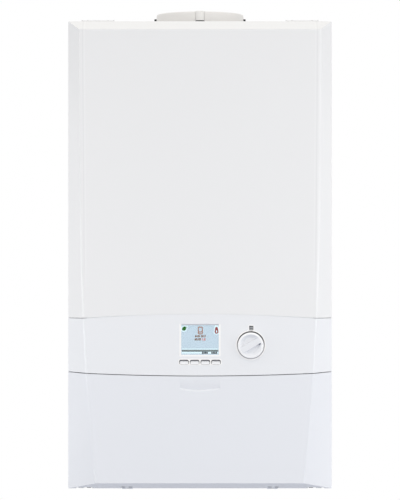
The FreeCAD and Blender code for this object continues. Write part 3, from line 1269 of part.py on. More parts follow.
def vessel_port_foot():
    """Height of the lower end of the vessel's port."""
    return VESSEL_Z - math.sqrt(VESSEL_RADIUS ** 2 - RELIEF_X ** 2) - VESSEL_PORT_DROP


def vessel_pipe():
    """Pipe from the expansion vessel to the back of the flow manifold."""
    points = [
        (RELIEF_X, VESSEL_Y, vessel_port_foot()),
        (RELIEF_X, VESSEL_Y, MANIFOLD_Z),
        (RELIEF_X, PIPE_Y + MANIFOLD_DEPTH / 2, MANIFOLD_Z),
    ]
    return bent_tube(points, VESSEL_PIPE_BEND, VESSEL_PIPE_RADIUS, PIPE_WALL)


def air_vent():
    """Automatic air vent on the highest point of the heat exchanger."""
    foot = EXCHANGER_Z + VENT_RISE
    body = post(VENT_RADIUS, VENT_X, VENT_Y, (foot, foot + VENT_HEIGHT))
    body = body.makeFillet(VENT_CAP_RADIUS, rings_at(body, foot + VENT_HEIGHT))
    cap = post(VENT_CAP_RADIUS, VENT_X, VENT_Y, (foot, foot + VENT_HEIGHT + VENT_CAP_HEIGHT))
    return fused(body, cap)


def condensate_trap():
    """Trap bottle with a screwed cap, standing on the tray, and its outlet below."""
    body_z = (TRAP_FOOT, TRAP_FOOT + TRAP_HEIGHT)
    body = post(TRAP_RADIUS, TRAP_X, TRAP_Y, body_z)
    body = body.makeFillet(2 * TRAP_FLANGE_HEIGHT, rings_at(body, TRAP_FOOT))
    cap = post(TRAP_RADIUS + TRAP_CAP, TRAP_X, TRAP_Y, (body_z[1], TRAP_TOP))
    inlet = post(HOSE_BORE_RADIUS, TRAP_X, TRAP_Y, (TRAP_FOOT, TRAP_TOP + TRAP_INLET_HEIGHT))
    neck = post(TRAP_NECK_RADIUS, TRAP_X, TRAP_Y, (UNION_FOOT, TRAP_FOOT + TRAP_FLANGE_RADIUS))
    flange = post(TRAP_FLANGE_RADIUS, TRAP_X, TRAP_Y, (TRAY_TOP, TRAY_TOP + TRAP_FLANGE_HEIGHT))
    outlet = post(CONDENSATE_RADIUS, TRAP_X, TRAP_Y, (TAIL_END, TRAP_FOOT))
    trap = fused(body, cap, inlet, neck, flange, outlet)
    return trap.cut(post(CONDENSATE_RADIUS - HOSE_WALL, TRAP_X, TRAP_Y, (TAIL_END, TRAP_FOOT)))


def condensate_hose():
    """Hose from the heat exchanger's drain, falling across to the trap."""
    run = EXCHANGER_Z - HOSE_RUN_DROP
    points = [
        (DRAIN_X, TRAP_Y, HOSE_TOP),
        (DRAIN_X, TRAP_Y, run),
        (TRAP_X, TRAP_Y, run - HOSE_FALL),
        (TRAP_X, TRAP_Y, TRAP_TOP + TRAP_INLET_HEIGHT - HOSE_LAP),
    ]
    return bent_tube(points, HOSE_BEND, HOSE_RADIUS, HOSE_WALL)


# Control box

def housing_section(y_front, z):
    """Side outline of the control box, deeper behind the control band than below it."""
    rear, step, front = y_front
    foot, middle, top = z
    points = [(rear, foot), (rear, top), (front, top), (front, middle), (step, middle), (step, foot)]
    return [Vector(0, y, height) for y, height in points]


def control_box_housing():
    """Moulded box behind the control band and flap, with pivot ears and flap hinge lugs."""
    wall = MOULDING
    outer = housing_section(
        (HOUSING_REAR, HOUSING_FRONT, FASCIA_BACK),
        (HOUSING_FOOT, HOUSING_STEP, HOUSING_TOP))
    inner = housing_section(
        (HOUSING_REAR - wall, HOUSING_FRONT + wall, FRONT_Y),
        (HOUSING_FOOT + wall, HOUSING_STEP + wall, HOUSING_TOP - wall))
    shell = slab(Part.makePolygon(outer + outer[:1]), Vector(HOUSING_WIDTH, 0, 0))
    room = slab(Part.makePolygon(inner + inner[:1]), Vector(HOUSING_WIDTH - 2 * wall, 0, 0))
    shell.translate(Vector(-HOUSING_HALF, 0, 0))
    room.translate(Vector(wall - HOUSING_HALF, 0, 0))
    shell = shell.cut(room)
    inset = 2 * TERMINAL_MARGIN
    hatch_z = (HOUSING_FOOT + inset, HOUSING_STEP - inset)
    shell = shell.cut(wide(HOUSING_HALF - inset, (HOUSING_FRONT, HOUSING_FRONT + wall), hatch_z))
    ear_x = (HOUSING_HALF - PIVOT_EAR_WIDTH, HOUSING_HALF)
    ear_hole = PIVOT_PIN_RADIUS + PIN_CLEARANCE
    ear = hinge_ear(ear_x, (PIVOT_Y, PIVOT_Z), PIVOT_EAR_RADIUS, ear_hole)
    lug_x = (HINGE_X - HINGE_LUG_WIDTH / 2, HINGE_X + HINGE_LUG_WIDTH / 2)
    lug = hinge_ear(lug_x, (FLAP_PIVOT_Y, FLAP_PIVOT_Z), KNUCKLE_RADIUS - RUNNING_GAP, FLAP_PIN_RADIUS)
    return fused(shell, ear, mirrored(ear), lug, mirrored(lug))


def hinge_ear(x, axis, radius, hole):
    """Ear below the control box, round about an axis along X and pierced for its pin."""
    y, z = axis
    ends = [(end, y, z) for end in x]
    stem = box(x, (y - radius, y + radius), (z, HOUSING_FOOT + MOULDING))
    return fused(stem, rod(radius, *ends)).cut(rod(hole, *ends))


def flap_hinge_pins():
    """Pins through the lugs of the control box, one on each side."""
    reach = HINGE_LUG_WIDTH / 2 + RUNNING_GAP + KNUCKLE_WIDTH
    ends = [(x, FLAP_PIVOT_Y, FLAP_PIVOT_Z) for x in (HINGE_X - reach, HINGE_X + reach)]
    return pair(rod(FLAP_PIN_RADIUS, *ends))


def terminal_cover():
    """Ribbed cover over the terminal compartment behind the flap."""
    half = HOUSING_HALF - TERMINAL_MARGIN
    z = (HOUSING_FOOT + TERMINAL_MARGIN, HOUSING_STEP - TERMINAL_MARGIN)
    front = HOUSING_FRONT - MOULDING
    cover = wide(half, (front, HOUSING_FRONT), z)
    ribs = []
    count = int((z[1] - z[0]) / TERMINAL_RIB_PITCH)
    for i in range(1, count):
        rib_z = z[0] + i * TERMINAL_RIB_PITCH
        ribs.append(wide(half / 2, (front - TERMINAL_RIB_HEIGHT, front), (rib_z, rib_z + MOULDING)))
    return fused(cover, *ribs)


def button_places():
    """Sideways places of the push buttons."""
    first = -(BUTTON_COUNT - 1) / 2
    return [(first + i) * BUTTON_PITCH for i in range(BUTTON_COUNT)]


def board_posts():
    """Corner places of the posts that carry the control board."""
    xs = (BOARD_LEFT + BOARD_POST_INSET, BOARD_RIGHT - BOARD_POST_INSET)
    zs = (BOARD_FOOT + BOARD_POST_INSET, BOARD_FOOT + BOARD_HEIGHT - BOARD_POST_INSET)
    return [Vector(x, 0, z) for x in xs for z in zs]


def control_fascia():
    """Moulded control band with openings for display, knob and buttons, and posts for the board."""
    block, hollow = rolled_block(0.0), skin_block(MOULDING)
    top, foot = -UPPER_GAP / 2, LOWER_GAP / 2
    band = upper_slice(-CASE_HEIGHT, top).common(lower_slice(foot, CASE_HEIGHT))
    skin = block.cut(hollow).common(band)
    ledges = [
        shelf(hollow, upper_slice(top - MOULDING, top)),
        shelf(hollow, lower_slice(foot, foot + MOULDING)),
    ]
    knob_axis = Vector(KNOB_X, 0, KNOB_Z)
    well = KNOB_RADIUS + KNOB_GAP
    collar = spool(well + KNOB_COLLAR_WALL, knob_axis, (FRONT_Y + MOULDING / 2, FRONT_Y + KNOB_COLLAR_DEPTH))
    posts = [spool(BOARD_POST_RADIUS, axis, (FASCIA_BACK, BOARD_Y)) for axis in board_posts()]
    fascia = fused(skin, collar, *ledges, *posts)
    fascia = fascia.cut(spool(well, knob_axis, (FRONT_Y, FRONT_Y + KNOB_COLLAR_DEPTH)))
    width = BUTTON_WIDTH + 2 * BUTTON_SIDE_GAP
    height = BUTTON_HEIGHT + BUTTON_TOP_GAP + HOLE_CLEARANCE
    middle = BUTTON_Z + (BUTTON_TOP_GAP - HOLE_CLEARANCE) / 2
    for x in button_places():
        hole = rounded_slab(
            width, height, BUTTON_CORNER + BUTTON_SIDE_GAP, Vector(x, FRONT_Y, middle), MOULDING)
        fascia = fascia.cut(hole)
    return fascia.cut(display_opening())


def display_opening():
    """Window opening in the control band, flared towards the front."""
    def outline(grow, y):
        half_x, half_z = DISPLAY_WIDTH / 2 + grow, DISPLAY_HEIGHT / 2 + grow
        corners = [(-half_x, -half_z), (half_x, -half_z), (half_x, half_z), (-half_x, half_z)]
        points = [Vector(x, y, DISPLAY_Z + z) for x, z in corners]
        return Part.makePolygon(points + points[:1])
    return Part.makeLoft([outline(DISPLAY_BEVEL, FRONT_Y), outline(0, FASCIA_BACK)], True, True)


def display_plate(y):
    """Block behind the display opening, wider than it by the overlap."""
    half_x, half_z = DISPLAY_WIDTH / 2 + DISPLAY_OVERLAP, DISPLAY_HEIGHT / 2 + DISPLAY_OVERLAP
    return wide(half_x, y, (DISPLAY_Z - half_z, DISPLAY_Z + half_z))


def display_window():
    """Clear window behind the control band."""
    return display_plate((FASCIA_BACK, FASCIA_BACK + WINDOW_THICKNESS))


def display_module():
    """Liquid crystal display between window and board."""
    return display_plate((FASCIA_BACK + WINDOW_THICKNESS + WINDOW_GAP, BOARD_Y))


def control_board():
    """Circuit board on the fascia's posts."""
    y = (BOARD_Y, BOARD_Y + BOARD_THICKNESS)
    return box((BOARD_LEFT, BOARD_RIGHT), y, (BOARD_FOOT, BOARD_FOOT + BOARD_HEIGHT))


def knob_encoder():
    """Rotary encoder on the board, with a bore for the knob's spindle."""
    half = ENCODER_SIZE / 2
    front = BOARD_Y - ENCODER_HEIGHT
    case = box((KNOB_X - half, KNOB_X + half), (front, BOARD_Y), (KNOB_Z - half, KNOB_Z + half))
    bore_y = (front, front + SPINDLE_INSERT + RUNNING_GAP)
    return case.cut(spool(SPINDLE_RADIUS + PIN_CLEARANCE, Vector(KNOB_X, 0, KNOB_Z), bore_y))


def button_switches():
    """Push switches on the board, one behind each button."""
    half = SWITCH_SIZE / 2
    y = (BOARD_Y - SWITCH_HEIGHT, BOARD_Y)
    return Part.makeCompound(
        [box((x - half, x + half), y, (BUTTON_Z - half, BUTTON_Z + half)) for x in button_places()])


def button(x):
    """Button cap with a face that slopes in upwards, a retaining flange and a stem for its switch."""
    front = FRONT_Y - BUTTON_PROUD
    flange_y = FASCIA_BACK + HOLE_CLEARANCE
    stem_end = BOARD_Y - SWITCH_HEIGHT - BUTTON_TRAVEL - HOLE_CLEARANCE
    centre = Vector(x, front, BUTTON_Z)
    cap = rounded_slab(BUTTON_WIDTH, BUTTON_HEIGHT, BUTTON_CORNER, centre, flange_y - front)
    foot, top = BUTTON_Z - BUTTON_HEIGHT / 2, BUTTON_Z + BUTTON_HEIGHT / 2
    slope = [Vector(x - BUTTON_WIDTH, y, z) for y, z in (
        (front, foot), (front, top), (FRONT_Y + BUTTON_SINK, top))]
    cap = cap.cut(slab(Part.makePolygon(slope + slope[:1]), Vector(2 * BUTTON_WIDTH, 0, 0)))
    flange_height = BUTTON_HEIGHT + BUTTON_TOP_GAP + 2 * BUTTON_FLANGE
    flange = rounded_slab(
        BUTTON_WIDTH, flange_height, BUTTON_CORNER,
        Vector(x, flange_y, BUTTON_Z + BUTTON_TOP_GAP / 2), BUTTON_FLANGE_THICKNESS)
    stem = spool(BUTTON_STEM_RADIUS, Vector(x, 0, BUTTON_Z), (flange_y, stem_end))
    return fused(cap, flange, stem)


def knob_scoop(side):
    """Finger recess on one side of the knob's grip bar, with sloping walls."""
    front = FRONT_Y - KNOB_PROUD
    slope = KNOB_SCOOP_DEPTH * math.tan(math.radians(KNOB_SCOOP_DRAFT))
    bar_slope = KNOB_SCOOP_DEPTH * math.tan(math.radians(KNOB_BAR_DRAFT))
    bowl = Part.makeCone(
        KNOB_SCOOP_RADIUS, KNOB_SCOOP_RADIUS - slope, KNOB_SCOOP_DEPTH, Vector(0, front, 0), Vector(0, 1, 0))
    def outline(y, grow):
        wide_end, narrow_end = KNOB_BAR_WIDE / 2 + grow, KNOB_BAR_NARROW / 2 + grow
        points = [
            Vector(-KNOB_RADIUS, y, side * wide_end),
            Vector(KNOB_RADIUS, y, side * narrow_end),
            Vector(KNOB_RADIUS, y, side * 2 * KNOB_RADIUS),
            Vector(-KNOB_RADIUS, y, side * 2 * KNOB_RADIUS),
        ]
        return Part.makePolygon(points + points[:1])
    wedge = Part.makeLoft([outline(front, 0), outline(front + KNOB_SCOOP_DEPTH, bar_slope)], True, True)
    return bowl.common(wedge)


def temperature_knob():
    """Round knob with a tapering grip bar between two scoops and a moulded spindle."""
    front, rear = FRONT_Y - KNOB_PROUD, FRONT_Y + KNOB_SINK
    origin = Vector(0, 0, 0)
    knob = spool(KNOB_RADIUS, origin, (front, rear))
    knob = knob.makeFillet(KNOB_EDGE, rings_at_depth(knob, front))
    for side in (-1, 1):
        knob = knob.cut(knob_scoop(side))
    spindle_end = BOARD_Y - ENCODER_HEIGHT + SPINDLE_INSERT
    knob = fused(knob, spool(SPINDLE_RADIUS, origin, (rear - MOULDING, spindle_end)))
    knob.rotate(origin, Vector(0, 1, 0), -KNOB_ANGLE)
    knob.translate(Vector(KNOB_X, 0, KNOB_Z))
    return knob


# Flap

def flap_recess():
    """Finger recess at the flap's upper edge: flush at its top, deepest at the sloping ledge at its foot."""
    top = BAND_FOOT - RECESS_DROP
    half = RECESS_WIDTH / 2
    rear = FRONT_Y + RECESS_DEPTH
    def outline(y, foot):
        return Part.Wire([
            Part.makeLine(Vector(-half, y, top), Vector(half, y, top)),
            Part.makeLine(Vector(half, y, top), Vector(half, y, foot)),
            Part.Arc(Vector(half, y, foot), Vector(0, y, foot - RECESS_SAG), Vector(-half, y, foot)).toShape(),
            Part.makeLine(Vector(-half, y, foot), Vector(-half, y, top)),
        ])
    foot = top - RECESS_HEIGHT
    pocket = Part.makeLoft([outline(FRONT_Y, foot), outline(rear, foot + RECESS_LEDGE)], True, True)
    fall = RECESS_HEIGHT + RECESS_SAG - RECESS_LEDGE
    radius = (fall * fall + RECESS_DEPTH * RECESS_DEPTH) / (2 * RECESS_DEPTH)
    axis_y = FRONT_Y + radius
    return pocket.cut(rod(radius, (-half, axis_y, top), (half, axis_y, top)))


def foot_notch():
    """Slot in the foot of the right-hand side bevel, left open for the control box's pivot bracket."""
    start = HALF_WIDTH - SIDE_BEVEL_FOOT + FOOT_NOTCH_START
    end = HALF_WIDTH - PIVOT_TAB_INSET + FOOT_NOTCH_MARGIN
    return box((start, end), (FRONT_Y, 0), (0, FOOT_NOTCH_HEIGHT))


def lower_flap():
    """Drop-down flap below the control band, with its finger recess and hinge knuckles."""
    block, hollow = rolled_block(0.0), skin_block(MOULDING)
    top = -LOWER_GAP / 2
    skin = block.cut(hollow).common(lower_slice(-CASE_HEIGHT, top))
    ledge = shelf(hollow, lower_slice(top - MOULDING, top))
    recess_z = (BAND_FOOT - RECESS_DROP - RECESS_HEIGHT - RECESS_SAG - MOULDING, BAND_FOOT - RECESS_DROP)
    backing_y = (FASCIA_BACK, FRONT_Y + RECESS_DEPTH + RECESS_BACKING)
    backing = wide(RECESS_WIDTH / 2 + MOULDING, backing_y, recess_z)
    flap = fused(skin, ledge, backing).cut(flap_recess())
    floor_edge = FLAP_PIVOT_Y - FLAP_FLOOR_SETBACK
    inside = HALF_WIDTH - MOULDING
    flap = flap.cut(wide(inside, (floor_edge, RETURN_Y), (-KNUCKLE_RADIUS, MOULDING)))
    flap = flap.cut(pair(foot_notch()))
    knuckles = []
    first = HINGE_X - HINGE_LUG_WIDTH / 2 - RUNNING_GAP
    second = HINGE_X + HINGE_LUG_WIDTH / 2 + RUNNING_GAP
    for x in ((first - KNUCKLE_WIDTH, first), (second, second + KNUCKLE_WIDTH)):
        ends = [(end, FLAP_PIVOT_Y, FLAP_PIVOT_Z) for end in x]
        web = box(x, (floor_edge - MOULDING, FLAP_PIVOT_Y), (0, MOULDING))
        barrel = fused(rod(KNUCKLE_RADIUS, *ends), web)
        knuckles.append(barrel.cut(rod(FLAP_PIN_RADIUS + PIN_CLEARANCE, *ends)))
        flap = flap.cut(pair(box(x, (FRONT_Y, SHOULDER_Y + HINGE_SLOT_DEPTH), (0, HINGE_SLOT_HEIGHT))))
    return fused(flap, *knuckles, *[mirrored(k) for k in knuckles])


PIECES = {
    "wall_bracket": wall_bracket,
    "back_panel": back_panel,
    "side_panel_right": side_panel,
    "side_panel_left": lambda: mirrored(side_panel()),
    "top_panel": top_panel,
    "bottom_tray": bottom_tray,
    "front_cross_rail": front_cross_rail,
    "top_clips": top_clips,
    "casing_seal": casing_seal,
    "control_box_pivots": control_box_pivots,
    "flue_turret": flue_turret,
    "flue_turret_screws": flue_turret_screws,
    "flue_test_plug": flue_test_plug,
    "flue_duct": flue_duct,
    "heat_exchanger": heat_exchanger,
    "burner_door": burner_door,
    "burner_door_seal": burner_door_seal,
    "burner": burner,
    "burner_door_nuts": burner_door_nuts,
    "burner_electrodes": burner_electrodes,
    "spark_generator": spark_generator,
    "ignition_lead": ignition_lead,
    "fan_housing": fan_housing,
    "fan_impeller": fan_impeller,
    "fan_motor": fan_motor,
    "venturi": venturi,
    "gas_valve": gas_valve,
    "gas_inlet_pipe": gas_inlet_pipe,
    "gas_feed_pipe": gas_feed_pipe,
    "expansion_vessel": expansion_vessel,
    "vessel_pipe": vessel_pipe,
    "pump_body": pump_body,
    "pump_motor": pump_motor,
    "return_pipe": return_pipe,
    "flow_pipe": flow_pipe,
    "flow_manifold": flow_manifold,
    "relief_valve": relief_valve,
    "relief_valve_cap": relief_valve_cap,
    "air_vent": air_vent,
    "condensate_hose": condensate_hose,
    "condensate_trap": condensate_trap,
    "pipe_tails": pipe_tails,
    "bulkhead_unions": bulkhead_unions,
    "front_panel": front_panel,
    "control_fascia": control_fascia,
    "control_box_housing": control_box_housing,
    "display_window": display_window,
    "display_module": display_module,
    "control_board": control_board,
    "knob_encoder": knob_encoder,
    "button_switches": button_switches,
    "terminal_cover": terminal_cover,
    "flap_hinge_pins": flap_hinge_pins,
    "temperature_knob": temperature_knob,
    "lower_flap": lower_flap,
}
for number, place in enumerate(button_places(), start=1):
    PIECES[f"button_{number}"] = lambda x=place: button(x)

os.makedirs("parts", exist_ok=True)
for name, make in PIECES.items():
    piece = make()
    piece.translate(Vector(0, 0, -HANG_HEIGHT))
    piece.exportStep(f"parts/{name}.step")
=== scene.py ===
"""The looks of a wall-hung system boiler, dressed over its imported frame.

Lengths are in metres. The front faces -Y, +X is to the viewer's right, and the wall stands at y = 0.
"""
import math

import bmesh
import bpy
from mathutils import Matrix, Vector


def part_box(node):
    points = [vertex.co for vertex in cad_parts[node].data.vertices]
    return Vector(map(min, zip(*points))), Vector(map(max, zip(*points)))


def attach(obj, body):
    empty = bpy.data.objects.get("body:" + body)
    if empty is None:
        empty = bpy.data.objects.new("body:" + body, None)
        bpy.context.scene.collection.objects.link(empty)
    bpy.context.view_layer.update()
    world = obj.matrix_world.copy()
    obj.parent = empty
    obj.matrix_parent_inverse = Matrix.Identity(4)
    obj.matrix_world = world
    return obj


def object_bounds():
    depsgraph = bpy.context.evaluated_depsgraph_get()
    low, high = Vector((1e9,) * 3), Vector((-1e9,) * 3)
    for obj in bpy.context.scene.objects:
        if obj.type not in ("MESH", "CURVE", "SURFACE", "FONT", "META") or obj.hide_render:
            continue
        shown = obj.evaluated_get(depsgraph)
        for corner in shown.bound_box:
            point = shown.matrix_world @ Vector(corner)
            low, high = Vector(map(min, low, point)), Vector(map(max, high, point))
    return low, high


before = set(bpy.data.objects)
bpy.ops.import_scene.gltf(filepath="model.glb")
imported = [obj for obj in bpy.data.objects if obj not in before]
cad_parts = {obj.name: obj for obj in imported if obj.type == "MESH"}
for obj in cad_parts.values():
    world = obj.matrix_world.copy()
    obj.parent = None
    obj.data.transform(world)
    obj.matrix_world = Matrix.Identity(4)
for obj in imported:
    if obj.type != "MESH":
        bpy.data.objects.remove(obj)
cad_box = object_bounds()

MM = 0.001

# Camera of the photograph: level, square to the front, far enough away to flatten the depth
PICTURE_HEIGHT_PX = 500
SENSOR = 36.0
FOCAL_PX = 2689.0
HORIZON_BELOW_CENTRE_PX = 4.75
CAMERA_PLACE = (0.0, -4.278, -0.290)
CAMERA_RANGE = 50.0

# Studio: the floor lies below the hanging boiler, and lamps stand round it
FLOOR_DROP = 0.35
FLOOR_RADIUS = 2.6
FLOOR_COLOUR = (0.455, 0.475, 0.535, 1.0)
FLOOR_GLOW = 0.42
AIM = Vector((0.0, -0.15, -0.29))
DAY = (1.0, 0.94, 0.86)
COOL = (0.985, 0.992, 1.0)

# Single lamps: name, place, size, radiance, colour and whether gloss mirrors it
LAMPS = (
    ("key_lamp", (-0.2, -2.6, 2.2), (2.6, 1.4), 1.04, DAY, True),
    ("fill_lamp", (0.0, -3.2, -0.2), (0.9, 0.9), 2.34, COOL, False),
    ("strip_lamp", (1.7, -0.9, -0.3), (0.4, 1.0), 1.7, COOL, True),
)

# Paired lamps: name, place on the right, size, and radiance on the right and on the left
PAIRED_LAMPS = (
    ("flank_lamp", (1.25, -1.75, -0.3), (0.6, 0.7), (3.0, 0.65)),
    ("side_lamp", (0.85, -0.5, -0.40), (0.25, 0.35), (2.5, 4.28)),
    ("hind_lamp", (1.1, 0.5, -0.3), (0.2, 0.6), (0.9, 0.9)),
)


# Small helpers for modelling by hand

SAME_WAY = 0.9
TOP_TOLERANCE = 0.05 * MM


def clear_selection():
    """Nothing is selected, so that an operator acts on the new piece alone."""
    if bpy.context.mode != "OBJECT":
        bpy.ops.object.mode_set(mode="OBJECT")
    bpy.ops.object.select_all(action="DESELECT")


def hold(piece):
    """The piece alone is selected and active."""
    clear_selection()
    piece.select_set(True)
    bpy.context.view_layer.objects.active = piece


def named(piece, name):
    """Gives a piece and its mesh one name."""
    piece.name = name
    piece.data.name = name
    return piece


def start(name, add, **values):
    """A new primitive under its name, the only thing selected."""
    clear_selection()
    add(**values)
    return named(bpy.context.active_object, name)


def disc(name, vertices, radius):
    """A flat filled disc that lies on the floor."""
    return start(name, bpy.ops.mesh.primitive_circle_add, vertices=vertices, radius=radius, fill_type="NGON")


def edit(piece):
    """Opens the piece for editing, with nothing in it selected."""
    bpy.context.view_layer.objects.active = piece
    bpy.ops.object.mode_set(mode="EDIT")
    bpy.ops.mesh.select_all(action="DESELECT")


def pick(piece, kind, test):
    """In an edited piece, selects the vertices, edges or faces that pass the test."""
    modes = {"verts": "VERT", "edges": "EDGE", "faces": "FACE"}
    bpy.ops.mesh.select_mode(type=modes[kind])
    bpy.ops.mesh.select_all(action="DESELECT")
    mesh = bmesh.from_edit_mesh(piece.data)
    for part in getattr(mesh, kind):
        if test(part):
            part.select_set(True)
    mesh.select_flush(True)
    bmesh.update_edit_mesh(piece.data)


def faces_towards(direction):
    """A test for faces that look along a direction."""
    way = Vector(direction)
    return lambda face: face.normal.dot(way) > SAME_WAY


def edges_above(height):
    """A test for edges that lie wholly above a height."""
    return lambda edge: all(vert.co.z > height for vert in edge.verts)


def close(piece):
    """Leaves edit mode and puts the piece's place into its mesh."""
    hold(piece)
    bpy.ops.object.transform_apply(location=True, rotation=True, scale=True)
    return piece


def apply_modifier(piece, kind, **values):
    """Adds a modifier to the piece and applies it at once."""
    bpy.context.view_layer.objects.active = piece
    modifier = piece.modifiers.new(kind.lower(), kind)
    for key, value in values.items():
        setattr(modifier, key, value)
    bpy.ops.object.modifier_apply(modifier=modifier.name)


def copy_of(piece, name, place, turn=(0.0, 0.0, 0.0)):
    """A copy of a finished piece with a mesh of its own, turned about the origin and then moved."""
    hold(piece)
    bpy.ops.object.duplicate(linked=False)
    twin = named(bpy.context.active_object, name)
    twin.rotation_euler = turn
    twin.location = place
    return close(twin)


def discard(piece):
    """Deletes a pattern or a cutter that has done its work."""
    hold(piece)
    bpy.ops.object.delete()


def cut(piece, cutter):
    """Takes the cutter's volume out of the piece."""
    apply_modifier(piece, "BOOLEAN", operation="DIFFERENCE", solver="EXACT", object=cutter)
    discard(cutter)
    return piece


def join(name, pieces):
    """Several pieces of one print or fastener set as one object."""
    clear_selection()
    for piece in pieces:
        piece.select_set(True)
    bpy.context.view_layer.objects.active = pieces[0]
    bpy.ops.object.join()
    return named(bpy.context.active_object, name)


def settle(piece, body, material):
    """A finished piece gets its material and slot and rides on its body."""
    piece.data.materials.clear()
    piece.data.materials.append(material)
    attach(piece, body)


# Node groups that the finishes share

def new_group(name, inputs, outputs):
    """An empty node group with named sockets, and its input and output nodes."""
    group = bpy.data.node_groups.new(name, "ShaderNodeTree")
    kinds = {"value": "NodeSocketFloat", "colour": "NodeSocketColor", "vector": "NodeSocketVector"}
    for socket, kind in inputs.items():
        group.interface.new_socket(socket, in_out="INPUT", socket_type=kinds[kind])
    for socket, kind in outputs.items():
        group.interface.new_socket(socket, in_out="OUTPUT", socket_type=kinds[kind])
    return group, group.nodes.new("NodeGroupInput"), group.nodes.new("NodeGroupOutput")


def scaled(tree, source, factor, offset, clamp=False):
    """A value times a factor plus an offset."""
    node = tree.nodes.new("ShaderNodeMath")
    node.operation = "MULTIPLY_ADD"
    node.use_clamp = clamp
    node.inputs[1].default_value = factor
    node.inputs[2].default_value = offset
    tree.links.new(source, node.inputs[0])
    return node.outputs[0]


def combined(tree, operation, first, second=None, clamp=False):
    """Two values brought together by a math operation, or one changed by it."""
    node = tree.nodes.new("ShaderNodeMath")
    node.operation = operation
    node.use_clamp = clamp
    tree.links.new(first, node.inputs[0])
    if second is not None:
        tree.links.new(second, node.inputs[1])
    return node.outputs[0]


def noise_over(group, given):
    """A noise that reads the place and the scale given to its group."""
    noise = group.nodes.new("ShaderNodeTexNoise")
    group.links.new(given.outputs["Place"], noise.inputs["Vector"])
    group.links.new(given.outputs["Scale"], noise.inputs["Scale"])
    return noise


def strayed(group, given, detail):
    """A factor that strays from 1, each way, by the spread given to its group."""
    noise = noise_over(group, given)
    noise.inputs["Detail"].default_value = detail
    centred = scaled(group, noise.outputs["Fac"], 2.0, -1.0)
    return scaled(group, combined(group, "MULTIPLY", centred, given.outputs["Spread"]), 1.0, 1.0)


def deepened(group, given, factor):
    """The colour given to its group, darkened or lightened by a factor."""
    depth = group.nodes.new("ShaderNodeHueSaturation")
    group.links.new(factor, depth.inputs["Value"])
    group.links.new(given.outputs["Colour"], depth.inputs["Color"])
    return depth.outputs["Color"]


def colour_drift_group():
    """A colour whose depth changes slowly over the surface."""
    sockets = {"Place": "vector", "Colour": "colour", "Spread": "value", "Scale": "value"}
    group, given, result = new_group("colour_drift", sockets, {"Colour": "colour"})
    drifted = deepened(group, given, strayed(group, given, detail=3.0))
    group.links.new(drifted, result.inputs["Colour"])
    return group


def gloss_drift_group():
    """A roughness that changes slowly over the surface, as from handling and wiping."""
    sockets = {"Place": "vector", "Level": "value", "Spread": "value", "Scale": "value"}
    group, given, result = new_group("gloss_drift", sockets, {"Roughness": "value"})
    roughness = combined(group, "MULTIPLY", strayed(group, given, detail=4.0), given.outputs["Level"])
    group.links.new(roughness, result.inputs["Roughness"])
    return group


def grain_group():
    """Fine grain: the texture of a moulding tool, of sand casting or of a sprayed coat."""
    sockets = {"Place": "vector", "Scale": "value", "Detail": "value"}
    group, given, result = new_group("grain", sockets, {"Height": "value"})
    noise = noise_over(group, given)
    group.links.new(given.outputs["Detail"], noise.inputs["Detail"])
    group.links.new(noise.outputs["Fac"], result.inputs["Height"])
    return group


def streaks_group():
    """Fine lines along one direction: rolling, brushing or drawing marks."""
    sockets = {"Place": "vector", "Stretch": "vector"}
    group, given, result = new_group("streaks", sockets, {"Mask": "value"})
    stretched = group.nodes.new("ShaderNodeMapping")
    noise = group.nodes.new("ShaderNodeTexNoise")
    noise.inputs["Scale"].default_value = 1.0
    noise.inputs["Detail"].default_value = 4.0
    group.links.new(given.outputs["Place"], stretched.inputs["Vector"])
    group.links.new(given.outputs["Stretch"], stretched.inputs["Scale"])
    group.links.new(stretched.outputs["Vector"], noise.inputs["Vector"])
    group.links.new(noise.outputs["Fac"], result.inputs["Mask"])
    return group


def two_tone_group():
    """Two colours mixed by a mask."""
    sockets = {"Mask": "value", "Dark": "colour", "Light": "colour"}
    group, given, result = new_group("two_tone", sockets, {"Colour": "colour"})
    mix = group.nodes.new("ShaderNodeMix")
    mix.data_type = "RGBA"
    group.links.new(given.outputs["Mask"], mix.inputs["Factor"])
    group.links.new(given.outputs["Dark"], mix.inputs["A"])
    group.links.new(given.outputs["Light"], mix.inputs["B"])
    group.links.new(mix.outputs["Result"], result.inputs["Colour"])
    return group


def spangle_group():
    """Angular flakes of differing brightness, as zinc crystals show on galvanised sheet."""
    sockets = {"Place": "vector", "Scale": "value"}
    group, given, result = new_group("spangle", sockets, {"Mask": "value"})
    flakes = group.nodes.new("ShaderNodeTexVoronoi")
    split = group.nodes.new("ShaderNodeSeparateColor")
    group.links.new(given.outputs["Place"], flakes.inputs["Vector"])
    group.links.new(given.outputs["Scale"], flakes.inputs["Scale"])
    group.links.new(flakes.outputs["Color"], split.inputs["Color"])
    group.links.new(split.outputs["Red"], result.inputs["Mask"])
    return group


def reach_mask_group():
    """0 near an axis that runs from front to back and 1 beyond a reach from it."""
    sockets = {"Place": "vector", "Centre": "vector", "Reach": "value", "Blend": "value"}
    group, given, result = new_group("reach_mask", sockets, {"Mask": "value"})
    nodes, links = group.nodes, group.links
    offset = nodes.new("ShaderNodeVectorMath")
    offset.operation = "SUBTRACT"
    flat = nodes.new("ShaderNodeVectorMath")
    flat.operation = "MULTIPLY"
    flat.inputs[1].default_value = (1.0, 0.0, 1.0)
    length = nodes.new("ShaderNodeVectorMath")
    length.operation = "LENGTH"
    links.new(given.outputs["Place"], offset.inputs[0])
    links.new(given.outputs["Centre"], offset.inputs[1])
    links.new(offset.outputs["Vector"], flat.inputs[0])
    links.new(flat.outputs["Vector"], length.inputs[0])
    beyond = combined(group, "SUBTRACT", length.outputs["Value"], given.outputs["Reach"])
    share = combined(group, "DIVIDE", beyond, given.outputs["Blend"], clamp=True)
    links.new(share, result.inputs["Mask"])
    return group


